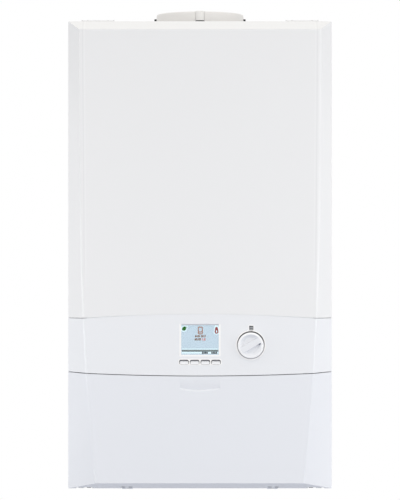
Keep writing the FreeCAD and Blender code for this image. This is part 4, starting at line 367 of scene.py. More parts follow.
# Painted shade and highlight along the front's side folds: a dark line of painted shade in the crease and a
# lighter line of painted highlight inside it, which fade out above the control band
FOLD_LINE_X = 174.5 * MM
FOLD_LINE_SLOPE = 0.007
FOLD_SHADE_WIDTH = 1.2 * MM
FOLD_HIGHLIGHT_STEP = 2.6 * MM
FOLD_HIGHLIGHT_WIDTH = 1.5 * MM
FOLD_END = -0.345
FOLD_FADE = 0.05


def fold_shade_and_highlight_group():
    """A fine dark line of painted shade, with a lighter line of painted highlight inside it, along each side
    fold of the front.
    """
    sockets = {"Place": "vector", "Colour": "colour", "Dark": "value", "Light": "value"}
    group, given, result = new_group("fold_shade_and_highlight", sockets, {"Colour": "colour"})
    split = group.nodes.new("ShaderNodeSeparateXYZ")
    group.links.new(given.outputs["Place"], split.inputs["Vector"])
    across = combined(group, "ABSOLUTE", split.outputs["X"])
    line = scaled(group, split.outputs["Z"], FOLD_LINE_SLOPE, FOLD_LINE_X)
    aside = combined(group, "SUBTRACT", across, line)
    fade = scaled(group, split.outputs["Z"], 1.0 / FOLD_FADE, -FOLD_END / FOLD_FADE, clamp=True)
    shares = []
    lines = ((0.0, FOLD_SHADE_WIDTH, "Dark"), (FOLD_HIGHLIGHT_STEP, FOLD_HIGHLIGHT_WIDTH, "Light"))
    for shift, width, strength in lines:
        far = combined(group, "ABSOLUTE", scaled(group, aside, 1.0, shift))
        near = scaled(group, far, -1.0 / width, 1.0, clamp=True)
        faded = combined(group, "MULTIPLY", near, fade)
        shares.append(combined(group, "MULTIPLY", faded, given.outputs[strength]))
    darker, lighter = shares
    factor = combined(group, "ADD", scaled(group, darker, -1.0, 1.0), lighter)
    group.links.new(deepened(group, given, factor), result.inputs["Colour"])
    return group


GROUPS = {
    "fold_shade_and_highlight": fold_shade_and_highlight_group(),
    "reach_mask": reach_mask_group(),
    "colour_drift": colour_drift_group(),
    "gloss_drift": gloss_drift_group(),
    "grain": grain_group(),
    "streaks": streaks_group(),
    "two_tone": two_tone_group(),
    "spangle": spangle_group(),
}


class Finish:
    """One material in the making: its shader, the coordinates it reads and the groups placed in it."""

    def __init__(self, name):
        self.material = bpy.data.materials.new(name)
        self.material.use_nodes = True
        self.nodes = self.material.node_tree.nodes
        self.links = self.material.node_tree.links
        self.shader = self.nodes["Principled BSDF"]
        self.place = self.nodes.new("ShaderNodeTexCoord").outputs["Object"]
        self.normal = None

    def put(self, group, **values):
        """Places a shared group, reading this surface, with its own values."""
        node = self.nodes.new("ShaderNodeGroup")
        node.node_tree = GROUPS[group]
        if "Place" in node.inputs:
            self.links.new(self.place, node.inputs["Place"])
        for key, value in values.items():
            if isinstance(value, bpy.types.NodeSocket):
                self.links.new(value, node.inputs[key])
            else:
                node.inputs[key].default_value = value
        return node

    def paint(self, socket, source):
        """Links a value that changes over the surface to the shader."""
        self.links.new(source, self.shader.inputs[socket])

    def plain(self, **values):
        """Values that are the same all over, set on the shader's own sockets."""
        for key, value in values.items():
            self.shader.inputs[key.replace("_", " ")].default_value = value

    def colour(self, given, spread, scale, socket="Base Color"):
        """A colour, plain or from other nodes, with a slow drift."""
        if not isinstance(given, bpy.types.NodeSocket):
            given = (*given, 1.0)
        drift = self.put("colour_drift", Colour=given, Spread=spread, Scale=scale)
        self.paint(socket, drift.outputs["Colour"])

    def tones(self, mask, dark, light):
        """Two colours mixed by a mask."""
        mixed = self.put("two_tone", Mask=mask, Dark=(*dark, 1.0), Light=(*light, 1.0))
        return mixed.outputs["Colour"]

    def gloss(self, level, spread, scale=18.0):
        """A roughness with a slow drift."""
        drift = self.put("gloss_drift", Level=level, Spread=spread, Scale=scale)
        self.paint("Roughness", drift.outputs["Roughness"])

    def bump(self, height, depth, strength):
        """Relief of a real depth, laid over any relief given before it."""
        node = self.nodes.new("ShaderNodeBump")
        node.inputs["Distance"].default_value = depth
        node.inputs["Strength"].default_value = strength
        self.links.new(height, node.inputs["Height"])
        if self.normal is not None:
            self.links.new(self.normal, node.inputs["Normal"])
        self.normal = node.outputs["Normal"]
        self.links.new(self.normal, self.shader.inputs["Normal"])

    def grain(self, scale, depth, strength, detail=2.0):
        """Grain of so many bumps a metre and a real depth."""
        self.bump(self.put("grain", Scale=scale, Detail=detail).outputs["Height"], depth, strength)


# Finishes of the casing, the controls and the works inside

COAT_WHITE = (0.825, 0.825, 0.83)
# the painted shade of the grip ends at this radius and blends into the rim's painted highlight
KNOB_GRIP_RADIUS = 16.3 * MM
KNOB_RIM_BLEND = 0.3 * MM


def powder_coat_white(name, pressed=False):
    """Satin powder coat on steel, with its soft orange peel. With pressed set, the front gets a painted shade
    line and a painted highlight line beside its folds.
    """
    finish = Finish(name)
    coat = COAT_WHITE
    # painted shade and painted highlight along the front's folds
    if pressed:
        lines = finish.put("fold_shade_and_highlight", Colour=(*COAT_WHITE, 1.0), Dark=0.055, Light=0.03)
        coat = lines.outputs["Colour"]
    finish.colour(coat, spread=0.006, scale=3.0)
    finish.gloss(0.25, spread=0.06)
    finish.grain(scale=420.0, depth=0.02 * MM, detail=0.0, strength=0.35)
    finish.grain(scale=2600.0, depth=0.006 * MM, strength=0.25)
    return finish.material


def skin(name, rgb, drift, gloss, grain, metallic=0.0):
    """A plain skin: a colour and a gloss that drift, and a fine grain."""
    finish = Finish(name)
    finish.colour(rgb, *drift)
    finish.plain(Metallic=metallic)
    finish.gloss(*gloss)
    finish.grain(*grain)
    return finish.material


def moulded_white(name, rgb):
    """White moulding with a fine spark-eroded grain."""
    return skin(name, rgb, drift=(0.006, 4.0), gloss=(0.28, 0.04), grain=(3200.0, 0.012 * MM, 0.3))


def moulded_grey(name, rgb, level):
    """Grey technical moulding, with flow marks and grain."""
    return skin(name, rgb, drift=(0.05, 9.0), gloss=(level, 0.12), grain=(2400.0, 0.02 * MM, 0.4))


def sprayed_paint(name, rgb, level):
    """Sprayed gloss paint on pressed steel."""
    return skin(name, rgb, drift=(0.06, 8.0), gloss=(level, 0.12), grain=(380.0, 0.03 * MM, 0.5, 0.0))


def ceramic(name, rgb):
    """Glazed ceramic, a little mottled."""
    return skin(name, rgb, drift=(0.05, 60.0), gloss=(0.22, 0.2), grain=(700.0, 0.02 * MM, 0.4))


def printed_ink(name, rgb):
    """Pad-printed ink on a moulding."""
    return skin(name, rgb, drift=(0.08, 700.0), gloss=(0.45, 0.1), grain=(2500.0, 0.01 * MM, 0.3))


def cast_metal(name, rgb, level, metallic):
    """Cast metal with a sandy skin and cloudy tone."""
    grain = (900.0, 0.08 * MM, 0.6, 3.0)
    return skin(name, rgb, drift=(0.14, 24.0), gloss=(level, 0.15, 60.0), grain=grain, metallic=metallic)


def zinc_sheet():
    """Galvanised sheet: flakes of zinc and faint rolling lines."""
    finish = Finish("zinc_sheet")
    flakes = finish.put("spangle", Scale=130.0)
    tones = finish.tones(flakes.outputs["Mask"], (0.50, 0.52, 0.54), (0.68, 0.70, 0.72))
    finish.colour(tones, spread=0.08, scale=10.0)
    lines = finish.put("streaks", Stretch=(12.0, 900.0, 900.0))
    finish.plain(Metallic=1.0)
    finish.gloss(0.42, spread=0.25, scale=40.0)
    finish.bump(lines.outputs["Mask"], 0.01 * MM, 0.3)
    return finish.material


def drawn_metal(name, rgb, level, stretch, drift=0.10):
    """Bare drawn or brushed metal: colour drift, hand-dulled gloss and fine lines."""
    finish = Finish(name)
    finish.colour(rgb, spread=drift, scale=14.0)
    finish.plain(Metallic=1.0)
    finish.gloss(level, spread=0.3, scale=35.0)
    lines = finish.put("streaks", Stretch=stretch)
    finish.bump(lines.outputs["Mask"], 0.012 * MM, 0.35)
    return finish.material


def rubber():
    """Matt black rubber with a dusty bloom."""
    finish = Finish("rubber")
    cloud = finish.put("grain", Scale=30.0, Detail=4.0)
    tones = finish.tones(cloud.outputs["Height"], (0.012, 0.012, 0.013), (0.035, 0.035, 0.036))
    finish.paint("Base Color", tones)
    finish.gloss(0.62, spread=0.12)
    finish.grain(scale=1500.0, depth=0.03 * MM, strength=0.5)
    return finish.material


def circuit_board():
    """Green lacquered board with fine tracks."""
    finish = Finish("circuit_board")
    tracks = finish.put("streaks", Stretch=(900.0, 900.0, 60.0))
    tones = finish.tones(tracks.outputs["Mask"], (0.01, 0.09, 0.035), (0.02, 0.16, 0.06))
    finish.paint("Base Color", tones)
    finish.gloss(0.3, spread=0.1)
    return finish.material


def clear_window():
    """The display's clear cover, coated against glare."""
    finish = Finish("clear_window")
    finish.plain(Base_Color=(0.97, 0.985, 1.0, 1.0), Transmission_Weight=1.0, IOR=1.22)
    finish.gloss(0.03, spread=0.3, scale=30.0)
    return finish.material


def lcd_backlight():
    """Backlit pale blue panel, its light a little uneven, with the pixel grid as a fine grain."""
    finish = Finish("lcd_backlight")
    finish.colour((0.48, 0.60, 0.685), spread=0.03, scale=30.0, socket="Emission Color")
    finish.plain(Base_Color=(0.05, 0.06, 0.07, 1.0), Emission_Strength=1.0)
    finish.gloss(0.5, spread=0.05)
    finish.grain(scale=2500.0, depth=0.01 * MM, strength=0.2)
    return finish.material


def lcd_ink(name, rgb):
    """One colour of the display's picture, lit from behind."""
    finish = Finish(name)
    finish.colour(rgb, spread=0.05, scale=900.0, socket="Emission Color")
    finish.plain(Base_Color=(0.02, 0.02, 0.02, 1.0), Emission_Strength=1.0, Specular_IOR_Level=0.1)
    finish.gloss(0.5, spread=0.05)
    return finish.material


def knob_white_painted_shading():
    """The knob's white moulding, with painted shade as a darker bluish tone on the grip, and a painted
    highlight as a lighter tone on the rim round the grip.
    """
    low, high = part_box("temperature_knob")
    finish = Finish("knob_white_painted_shading")
    rim = finish.put("reach_mask", Centre=(low + high) / 2, Reach=KNOB_GRIP_RADIUS, Blend=KNOB_RIM_BLEND)
    # darker bluish tone: painted shade on the grip; lighter tone: painted highlight on the rim
    tones = finish.tones(rim.outputs["Mask"], (0.80, 0.81, 0.84), (0.93, 0.93, 0.94))
    finish.colour(tones, spread=0.006, scale=40.0)
    finish.gloss(0.36, spread=0.05)
    finish.grain(scale=3200.0, depth=0.012 * MM, strength=0.3)
    return finish.material


FINISHES = {
    "casing_white": powder_coat_white("powder_coat_white"),
    "moulding_white": moulded_white("moulded_white", (0.819, 0.829, 0.852)),
    "galvanised": zinc_sheet(),
    "housing_grey": moulded_grey("housing_moulding", (0.30, 0.31, 0.325), 0.48),
    "cover_grey": moulded_grey("cover_moulding", (0.52, 0.53, 0.54), 0.45),
    "display_glass": clear_window(),
    "display_lcd": lcd_backlight(),
    "board_green": circuit_board(),
    "component_black": moulded_grey("component_moulding", (0.022, 0.022, 0.024), 0.42),
    "rubber_black": rubber(),
    "copper": drawn_metal("copper_tube", (0.83, 0.44, 0.29), 0.30, (300.0, 300.0, 20.0), drift=0.16),
    "brass": drawn_metal("turned_brass", (0.78, 0.60, 0.30), 0.28, (60.0, 60.0, 900.0)),
    "cast_alloy": cast_metal("cast_alloy", (0.60, 0.605, 0.615), 0.46, 0.9),
    "stainless": drawn_metal("brushed_steel", (0.62, 0.62, 0.63), 0.28, (700.0, 700.0, 12.0), drift=0.05),
    "turret_grey": moulded_grey("turret_moulding", (0.805, 0.79, 0.775), 0.44),
    "screw_black": moulded_grey("blackened_steel", (0.008, 0.008, 0.009), 0.7),
    "ceramic": ceramic("ceramic_glaze", (0.78, 0.75, 0.68)),
    "vessel_red": sprayed_paint("vessel_paint", (0.50, 0.035, 0.025), 0.32),
    "motor_black": moulded_grey("motor_moulding", (0.035, 0.036, 0.04), 0.4),
    "pump_grey": cast_metal("pump_casting", (0.12, 0.125, 0.13), 0.5, 0.2),
    "cap_red": moulded_grey("cap_moulding", (0.52, 0.03, 0.025), 0.35),
    "trap_white": moulded_grey("trap_moulding", (0.74, 0.745, 0.74), 0.38),
}

NODE_FINISHES = {
    # the front's coat carries the painted fold shade and highlight
    "front_panel": powder_coat_white("front_coat_white", pressed=True),
    # a darker, bluer copy of the moulded white: painted shade on the lower flap
    "lower_flap": moulded_white("flap_white_painted_shade", (0.79, 0.804, 0.84)),
    # the knob's finish, with painted shade on the grip and painted highlight on the rim
    "temperature_knob": knob_white_painted_shading(),
    "flue_test_plug": moulded_grey("plug_moulding", (0.825, 0.815, 0.80), 0.44),
}

for name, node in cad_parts.items():
    slot = node.material_slots[0].material.name
    node.material_slots[0].material = NODE_FINISHES.get(name, FINISHES[slot])


# Display picture: pictograms and figures without words, standing on the panel's face

LCD_LOW, LCD_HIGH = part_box("display_module")
LCD_CENTRE = (LCD_LOW + LCD_HIGH) / 2
LCD_FACE = LCD_LOW.y
FASCIA_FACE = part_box("control_fascia")[0].y
INK = 0.04 * MM

# Leaf: its breadth, the start of its ends and the reach of tip and stalk are shares of its length
LEAF_PLACE = (-23.5 * MM, 16.9 * MM)
LEAF_LENGTH = 6.6 * MM
LEAF_BREADTH = 0.9
LEAF_ENDS = 0.48
LEAF_TIP = 0.16
LEAF_STALK = 0.08
LEAF_TURN = math.radians(-38)

# Case sign: the levels of its rails are shares of its height
CASE_SIGN_PLACE = (0.45 * MM, 14.1 * MM)
CASE_SIGN_SIZE = (6.0 * MM, 10.0 * MM)
CASE_SIGN_LINE = 1.45 * MM
CASE_SIGN_LEVELS = (-0.5, -0.22, 0.5)

# Flame: each step gives the height it starts at, its narrowing and its rise, by the radius
FLAME_PLACE = (24.6 * MM, 12.0 * MM)
FLAME_RADIUS = 2.85 * MM
FLAME_STEPS = ((0.2, 0.92, 0.35), (0.6, 0.8, 0.55), (0.97, 1.0, 0.7))
FLAME_CORE_SHARE = 0.36
FLAME_CORE_DROP = 0.1 * MM
GLOW = 1.45

# Figures: each line has its name, text, place and ink
FIGURE_HEIGHT = 3.1 * MM
FIGURE_WEIGHT = 0.24 * MM
FIGURE_FONT = 1.4
FIGURE_LINES = (
    ("lcd_line_1", "6:45 20.5", (0.6 * MM, 5.5 * MM), "umber"),
    ("lcd_line_2", "60.05", (-3.2 * MM, 0.75 * MM), "umber"),
    ("lcd_line_3", "1.5", (5.6 * MM, 0.75 * MM), "coral"),
)

# Strips across the foot: each has its name, drop, height and ink
STRIP_WIDTH = 54.4 * MM
STRIPS = (
    ("lcd_rule", 16.1 * MM, 2.9 * MM, "slate"),
    ("lcd_strip_1", 13.7 * MM, 1.5 * MM, "pale"),
    ("lcd_strip_2", 19.1 * MM, 2.3 * MM, "pale"),
)

# Soft keys: each bar has its step aside and its width
KEY_SIGN_DROP = 19.3 * MM
KEY_SIGN_HEIGHT = 3.2 * MM
KEY_SIGN_PLACES = (7.3 * MM, 21.2 * MM)
KEY_SIGN_BARS_MM = ((-3.5, 1.7), (-1.4, 1.7), (0.8, 1.9), (3.2, 2.1))
BAR_ROUNDING = 0.25
LCD_INKS = {
    "brown": (0.33, 0.14, 0.08),
    "umber": (0.17, 0.065, 0.012),
    "green": (0.0, 0.12, 0.0),
    "red": (0.25, 0.0, 0.0),
    "coral": (0.62, 0.08, 0.03),
    "pale": (0.765, 0.955, 1.0),
    "slate": (0.145, 0.19, 0.19),
    "dark": (0.01, 0.015, 0.02),
}


def lcd_place(right, up, layer=0):
    """A place on the display's face, measured from its centre. Each layer lies on the one before."""
    return (LCD_CENTRE.x + right, LCD_FACE - (layer + 0.5) * INK, LCD_CENTRE.z + up)


def stand_up(piece, place, turn=0.0, thickness=INK):
    """Turns a flat outline drawn on the floor upright, facing forwards, and gives it a thickness."""
    piece.rotation_euler = (math.pi / 2, turn, 0.0)
    piece.location = place
    close(piece)
    apply_modifier(piece, "SOLIDIFY", thickness=thickness, offset=0.0)
    return close(piece)


def round_corners(piece, corner, segments):
    """Rounds every corner of a flat outline."""
    edit(piece)
    bpy.ops.mesh.select_all(action="SELECT")
    bpy.ops.mesh.bevel(offset=corner, segments=segments, affect="VERTICES")
    return piece


def rounded_plate(name, width, height, corner, segments=4):
    """A flat plate on the floor with rounded corners."""
    piece = start(name, bpy.ops.mesh.primitive_plane_add, size=1.0)
    piece.scale = (width, height, 1.0)
    close(piece)
    return round_corners(piece, corner, segments)


def bar(name, place, width, height):
    """A flat bar of ink with rounded corners."""
    return stand_up(rounded_plate(name, width, height, min(width, height) * BAR_ROUNDING, 3), place)


def figures(name, text, place):
    """A line of figures, as a thin print on an upright face."""
    clear_selection()
    bpy.ops.object.text_add()
    words = bpy.context.active_object
    words.data.body = text
    words.data.size = FIGURE_HEIGHT * FIGURE_FONT
    words.data.align_x = "CENTER"
    words.data.align_y = "CENTER"
    words.data.resolution_u = 3
    words.data.offset = FIGURE_WEIGHT
    bpy.ops.object.convert(target="MESH")
    return stand_up(named(bpy.context.active_object, name), place)


def leaf(name, place, length):
    """A leaf whose tip points to the upper right."""
    piece = disc(name, vertices=32, radius=length / 2)
    piece.scale = (1.0, LEAF_BREADTH, 1.0)
    close(piece)
    edit(piece)
    pick(piece, "verts", lambda vert: vert.co.x > length * LEAF_ENDS)
    bpy.ops.transform.translate(value=(length * LEAF_TIP, 0.0, 0.0))
    pick(piece, "verts", lambda vert: vert.co.x < -length * LEAF_ENDS)
    bpy.ops.transform.translate(value=(-length * LEAF_STALK, 0.0, 0.0))
    return stand_up(piece, place, LEAF_TURN)


def flame(name, place, radius):
    """A drop that narrows upwards to a point."""
    piece = disc(name, vertices=32, radius=radius)
    edit(piece)
    for height, narrowing, rise in FLAME_STEPS:
        pick(piece, "verts", lambda vert, least=height * radius: vert.co.y > least)
        bpy.ops.transform.resize(value=(narrowing, 1.0, 1.0), center_override=(0.0, 0.0, 0.0))
        bpy.ops.transform.translate(value=(0.0, rise * radius, 0.0))
    return stand_up(piece, place)


def case_sign(name, right, up):
    """The outline of a boiler's case, with the line of its control band."""
    width, height = CASE_SIGN_SIZE
    uprights = [bar(name, lcd_place(right + side * width / 2, up), CASE_SIGN_LINE, height)
                for side in (-1, 1)]
    rails = [bar(name, lcd_place(right, up + level * height), width, CASE_SIGN_LINE)
             for level in CASE_SIGN_LEVELS]
    return join(name, uprights + rails)


def key_sign(name, right):
    """Short bars that stand for a soft key's text."""
    marks = []
    for step, width in KEY_SIGN_BARS_MM:
        place = lcd_place(right + step * MM, -KEY_SIGN_DROP, 1)
        marks.append(bar(name, place, width * MM, KEY_SIGN_HEIGHT))
    return join(name, marks)


def display_picture():
    """All that the display shows, each colour as its own piece."""
    inks = {name: lcd_ink(f"lcd_{name}", rgb) for name, rgb in LCD_INKS.items()}
    flame_x, flame_z = FLAME_PLACE
    core = lcd_place(flame_x, flame_z - FLAME_CORE_DROP, 2)
    marks = [
        (leaf("lcd_leaf_glow", lcd_place(*LEAF_PLACE), LEAF_LENGTH * GLOW), "pale"),
        (leaf("lcd_leaf", lcd_place(*LEAF_PLACE, 1), LEAF_LENGTH), "green"),
        (case_sign("lcd_case", *CASE_SIGN_PLACE), "brown"),
        (flame("lcd_flame_glow", lcd_place(*FLAME_PLACE), FLAME_RADIUS * GLOW), "pale"),
        (flame("lcd_flame", lcd_place(*FLAME_PLACE, 1), FLAME_RADIUS), "red"),
        (flame("lcd_flame_core", core, FLAME_RADIUS * FLAME_CORE_SHARE), "pale"),
    ]
    for name, text, place, ink in FIGURE_LINES:
        marks.append((figures(name, text, lcd_place(*place)), ink))
    for name, drop, height, ink in STRIPS:
        marks.append((bar(name, lcd_place(0.0, -drop), STRIP_WIDTH, height), ink))
    for number, right in enumerate(KEY_SIGN_PLACES, start=1):
        marks.append((key_sign(f"lcd_key_{number}", right), "dark"))
    for piece, ink in marks:
        settle(piece, "control_box", inks[ink])


# Radiator sign printed on the fascia above the knob

RADIATOR_X = 76.3 * MM
RADIATOR_Z = -398.6 * MM
RADIATOR_SIZE = 6.2 * MM
RADIATOR_COLUMNS = 4
RADIATOR_LINE = 1.2 * MM
RADIATOR_RAILS = (-0.3, 0.3)


def on_fascia(x, z, layer=0):
    """A place on the fascia's face. Each layer lies on the one before."""
    return (x, FASCIA_FACE - (layer + 0.5) * INK, z)


def radiator_sign():
    """Upright columns between a top and a bottom rail."""
    pitch = (RADIATOR_SIZE - RADIATOR_LINE) / (RADIATOR_COLUMNS - 1)
    parts = []
    for column in range(RADIATOR_COLUMNS):
        across = RADIATOR_X - RADIATOR_SIZE / 2 + RADIATOR_LINE / 2 + column * pitch
        place = on_fascia(across, RADIATOR_Z, 1)
        parts.append(bar("radiator_sign", place, RADIATOR_LINE, RADIATOR_SIZE))
    for level in RADIATOR_RAILS:
        place = on_fascia(RADIATOR_X, RADIATOR_Z + level * RADIATOR_SIZE, 1)
        parts.append(bar("radiator_sign", place, RADIATOR_SIZE, RADIATOR_LINE))
    sign = join("radiator_sign", parts)
    settle(sign, "control_box", printed_ink("sign_grey", (0.11, 0.12, 0.14)))


# Painted shadow: a dark arch in the gap above and beside each button, where the shade falls

BUTTON_NAMES = [f"button_{i}" for i in range(1, 5)]
BUTTON_FLANGE = 1.2 * MM
BUTTON_TOP_GAP = 1.6 * MM
BUTTON_SIDE_GAP = 0.8 * MM
BUTTON_FOOT_GAP = 0.3 * MM
BUTTON_SHADOW_FIT = 0.05 * MM
BUTTON_SHADOW_CLEARANCE = 0.3 * MM
BUTTON_SHADOW_CORNERS = (2.35 * MM, 1.8 * MM)
BUTTON_SHADOW_FRONT = 0.5 * MM
BUTTON_SHADOW_DEPTH = 1.7 * MM


def button_gap_shadows():
    """A dark arch of painted shadow round the first button, copied for the others."""
    low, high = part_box(BUTTON_NAMES[0])
    middle = (low.x + high.x) / 2
    button_width = high.x - low.x
    hole_foot = low.z + BUTTON_FLANGE - BUTTON_FOOT_GAP
    hole_top = high.z - BUTTON_FLANGE
    inner_top = hole_top - BUTTON_TOP_GAP + BUTTON_SHADOW_CLEARANCE
    depth = FASCIA_FACE + BUTTON_SHADOW_FRONT + BUTTON_SHADOW_DEPTH / 2
    height = hole_top - BUTTON_SHADOW_FIT - hole_foot
    width = button_width + 2 * (BUTTON_SIDE_GAP - BUTTON_SHADOW_FIT)
    arch = rounded_plate("button_gap_shadow_1", width, height, BUTTON_SHADOW_CORNERS[0])
    stand_up(arch, (middle, depth, hole_foot + height / 2), thickness=BUTTON_SHADOW_DEPTH)
    inner_width = button_width + 2 * BUTTON_SHADOW_CLEARANCE
    cutter = rounded_plate("button_shadow_cutter", inner_width, 2 * height, BUTTON_SHADOW_CORNERS[1])
    stand_up(cutter, (middle, depth, inner_top - height), thickness=2 * BUTTON_SHADOW_DEPTH)
    cut(arch, cutter)
    arches = [arch]
    for number, name in enumerate(BUTTON_NAMES[1:], start=2):
        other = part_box(name)[0]
        arches.append(copy_of(arch, f"button_gap_shadow_{number}", (other.x - low.x, 0.0, 0.0)))
    # dark grey that stands for the shade in the gap: painted shadow
    shadow_grey = moulded_grey("button_shadow_grey", (0.07, 0.066, 0.08), 0.6)
    for piece in arches:
        settle(piece, "control_box", shadow_grey)


# Painted shadow: a dark wedge let into the knob at the outer end of its grip, where the scoop's corner lies in
# shade

CORNER_SHADOW_REACH = 13.0 * MM
CORNER_SHADOW_ASIDE = 4.75 * MM
CORNER_SHADOW_SIZE = (1.3 * MM, 4.2 * MM)
CORNER_SHADOW_SINK = 0.5 * MM
CORNER_SHADOW_DEPTH = 2.4 * MM
CORNER_SHADOW_ROUNDING = 0.25 * MM
KNOB_GRIP_ANGLE = math.radians(30)


def knob_corner_shadow():
    """A slim dark wedge of painted shadow beside the grip bar, its tip outwards."""
    low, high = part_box("temperature_knob")
    piece = disc("knob_corner_shadow", vertices=3, radius=1.0)
    piece.scale = (*CORNER_SHADOW_SIZE, 1.0)
    close(piece)
    round_corners(piece, CORNER_SHADOW_ROUNDING, 3)
    along = Vector((math.cos(KNOB_GRIP_ANGLE), 0.0, math.sin(KNOB_GRIP_ANGLE)))
    aside = Vector((math.sin(KNOB_GRIP_ANGLE), 0.0, -math.cos(KNOB_GRIP_ANGLE)))
    place = (low + high) / 2 + CORNER_SHADOW_REACH * along + CORNER_SHADOW_ASIDE * aside
    place.y = low.y + CORNER_SHADOW_SINK + CORNER_SHADOW_DEPTH / 2
    stand_up(piece, place, math.pi / 2 - KNOB_GRIP_ANGLE, CORNER_SHADOW_DEPTH)
    # grey ink that stands for the shadow in the scoop's corner
    settle(piece, "knob", printed_ink("corner_shadow_grey", (0.16, 0.17, 0.21)))


# Painted highlights: white surrounds that frame the display, the buttons, the knob and its sign as lit edges;
# and painted shadow: the dark ring in the knob's gap
# Rims are those at the sides, then the top where there is one, then the foot; corners are outer, then inner

DISPLAY_OVERLAP = 2.5 * MM
DISPLAY_BEVEL = 2.0 * MM
DISPLAY_RIMS = (2.8 * MM, 2.6 * MM)
DISPLAY_CORNERS = (1.2 * MM, 0.4 * MM)
BUTTON_RIMS = (1.3 * MM, 1.7 * MM, 1.0 * MM)
BUTTON_CORNERS = (3.0 * MM, 2.4 * MM)
KNOB_WELL = 20.4 * MM
KNOB_RIM_RADIUS = 22.4 * MM
# the dark ring in the knob's gap is painted shadow, darkest within a reach of its top and painted lighter
# below
KNOB_SHADOW_INNER_RADIUS = 19.35 * MM
KNOB_SHADOW_OUTER_RADIUS = 20.75 * MM
KNOB_SHADOW_SHIFT = (0.225 * MM, 0.39 * MM)
KNOB_SHADOW_DARK_REACH = 20.0 * MM
KNOB_SHADOW_BLEND = 12.0 * MM
SIGN_GROUND = 8.8 * MM
SIGN_CORNER = 1.5 * MM
CUTTER_DEPTH = 4 * INK


def face_plate(name, width, height, corner, x, z, thickness=INK):
    """An upright plate with rounded corners on the fascia's face."""
    return stand_up(rounded_plate(name, width, height, corner), on_fascia(x, z), thickness=thickness)


def face_disc(name, radius, x, z, layer=0, thickness=INK):
    """An upright disc on the fascia's face."""
    plate = disc(name, vertices=128, radius=radius)
    return stand_up(plate, on_fascia(x, z, layer), thickness=thickness)


def display_highlight_frame():
    """A white frame of painted highlight on the left, right and foot of the display, open at the top, where
    the edge is left in shade.
    """
    low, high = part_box("display_window")
    left, right = low.x + DISPLAY_OVERLAP, high.x - DISPLAY_OVERLAP
    foot, top = low.z + DISPLAY_OVERLAP, high.z - DISPLAY_OVERLAP
    x = (left + right) / 2
    lowest, highest = foot - DISPLAY_RIMS[1], top + DISPLAY_BEVEL
    plate = face_plate("display_highlight_frame", right - left + 2 * DISPLAY_RIMS[0], highest - lowest,
                       DISPLAY_CORNERS[0], x, (lowest + highest) / 2)
    opening = face_plate("display_cutter", right - left, 2 * (highest - foot), DISPLAY_CORNERS[1], x, highest,
                         thickness=CUTTER_DEPTH)
    return cut(plate, opening)


def button_highlight_plate():
    """One white plate of painted highlight, with an opening for each button."""
    boxes = [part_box(name) for name in BUTTON_NAMES]
    left = boxes[0][0].x - BUTTON_SIDE_GAP - BUTTON_RIMS[0]
    right = boxes[-1][1].x + BUTTON_SIDE_GAP + BUTTON_RIMS[0]
    foot = boxes[0][0].z + BUTTON_FLANGE - BUTTON_FOOT_GAP
    top = boxes[0][1].z - BUTTON_FLANGE
    lowest, highest = foot - BUTTON_RIMS[2], top + BUTTON_RIMS[1]
    plate = face_plate("button_highlight_plate", right - left, highest - lowest, BUTTON_CORNERS[0],
                       (left + right) / 2, (lowest + highest) / 2)
    for low, high in boxes:
        width = high.x - low.x + 2 * BUTTON_SIDE_GAP
        opening = face_plate("button_cutter", width, top - foot, BUTTON_CORNERS[1],
                             (low.x + high.x) / 2, (top + foot) / 2, thickness=CUTTER_DEPTH)
        cut(plate, opening)
    return plate


def knob_gap_shadow():
    """A dark ring of painted shadow in the knob's gap, darkest at its top and painted a lighter grey on its
    lower half, where the gap is lit.
    """
    low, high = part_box("temperature_knob")
    top = (low + high) / 2 + Vector((0.0, 0.0, KNOB_SHADOW_OUTER_RADIUS))
    finish = Finish("knob_gap_shadow")
    lit_lower_share = finish.put("reach_mask", Centre=top, Reach=KNOB_SHADOW_DARK_REACH, Blend=KNOB_SHADOW_BLEND)
    # dark at the top for painted shadow, lighter grey below for painted light
    tones = finish.tones(lit_lower_share.outputs["Mask"], (0.045, 0.043, 0.05), (0.40, 0.39, 0.40))
    finish.paint("Base Color", tones)
    finish.gloss(0.6, spread=0.12)
    return finish.material


def painted_surrounds():
    """The white surrounds of painted highlight, and the dark ring of painted shadow in the knob's gap, wider
    on its upper right.
    """
    # a whiter tone than the moulding: painted highlight
    white = moulded_white("highlight_white", (0.94, 0.93, 0.92))
    low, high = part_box("temperature_knob")
    x, z = (low.x + high.x) / 2, (low.z + high.z) / 2
    rim = cut(face_disc("knob_highlight_ring", KNOB_RIM_RADIUS, x, z),
              face_disc("knob_cutter", KNOB_WELL, x, z, thickness=CUTTER_DEPTH))
    ground = face_plate("sign_highlight_ground", SIGN_GROUND, SIGN_GROUND, SIGN_CORNER, RADIATOR_X, RADIATOR_Z)
    for piece in (display_highlight_frame(), button_highlight_plate(), rim, ground):
        settle(piece, "control_box", white)
    # a dark ring in the knob's gap, wider on its upper right: painted shadow
    shadow_ring = cut(face_disc("knob_shadow_ring", KNOB_SHADOW_OUTER_RADIUS, x + KNOB_SHADOW_SHIFT[0], z + KNOB_SHADOW_SHIFT[1], layer=1),
               face_disc("knob_shadow_cutter", KNOB_SHADOW_INNER_RADIUS, x, z, layer=1, thickness=CUTTER_DEPTH))
    settle(shadow_ring, "control_box", knob_gap_shadow())


# Painted light: a pale strip laid in the joint above the control band in place of the gap's shade; its depths
# in the middle and at the ends

JOINT_HALF = 175.75 * MM
JOINT_RISE = 5.8 * MM
JOINT_GAP = 0.7 * MM
JOINT_REACH = 168.0 * MM
JOINT_STEPS = 48
JOINT_DEPTHS = (0.3 * MM, 0.95 * MM)
FILL_THICKNESS = 0.4 * MM
COLUMN_TOLERANCE = 0.1 * MM


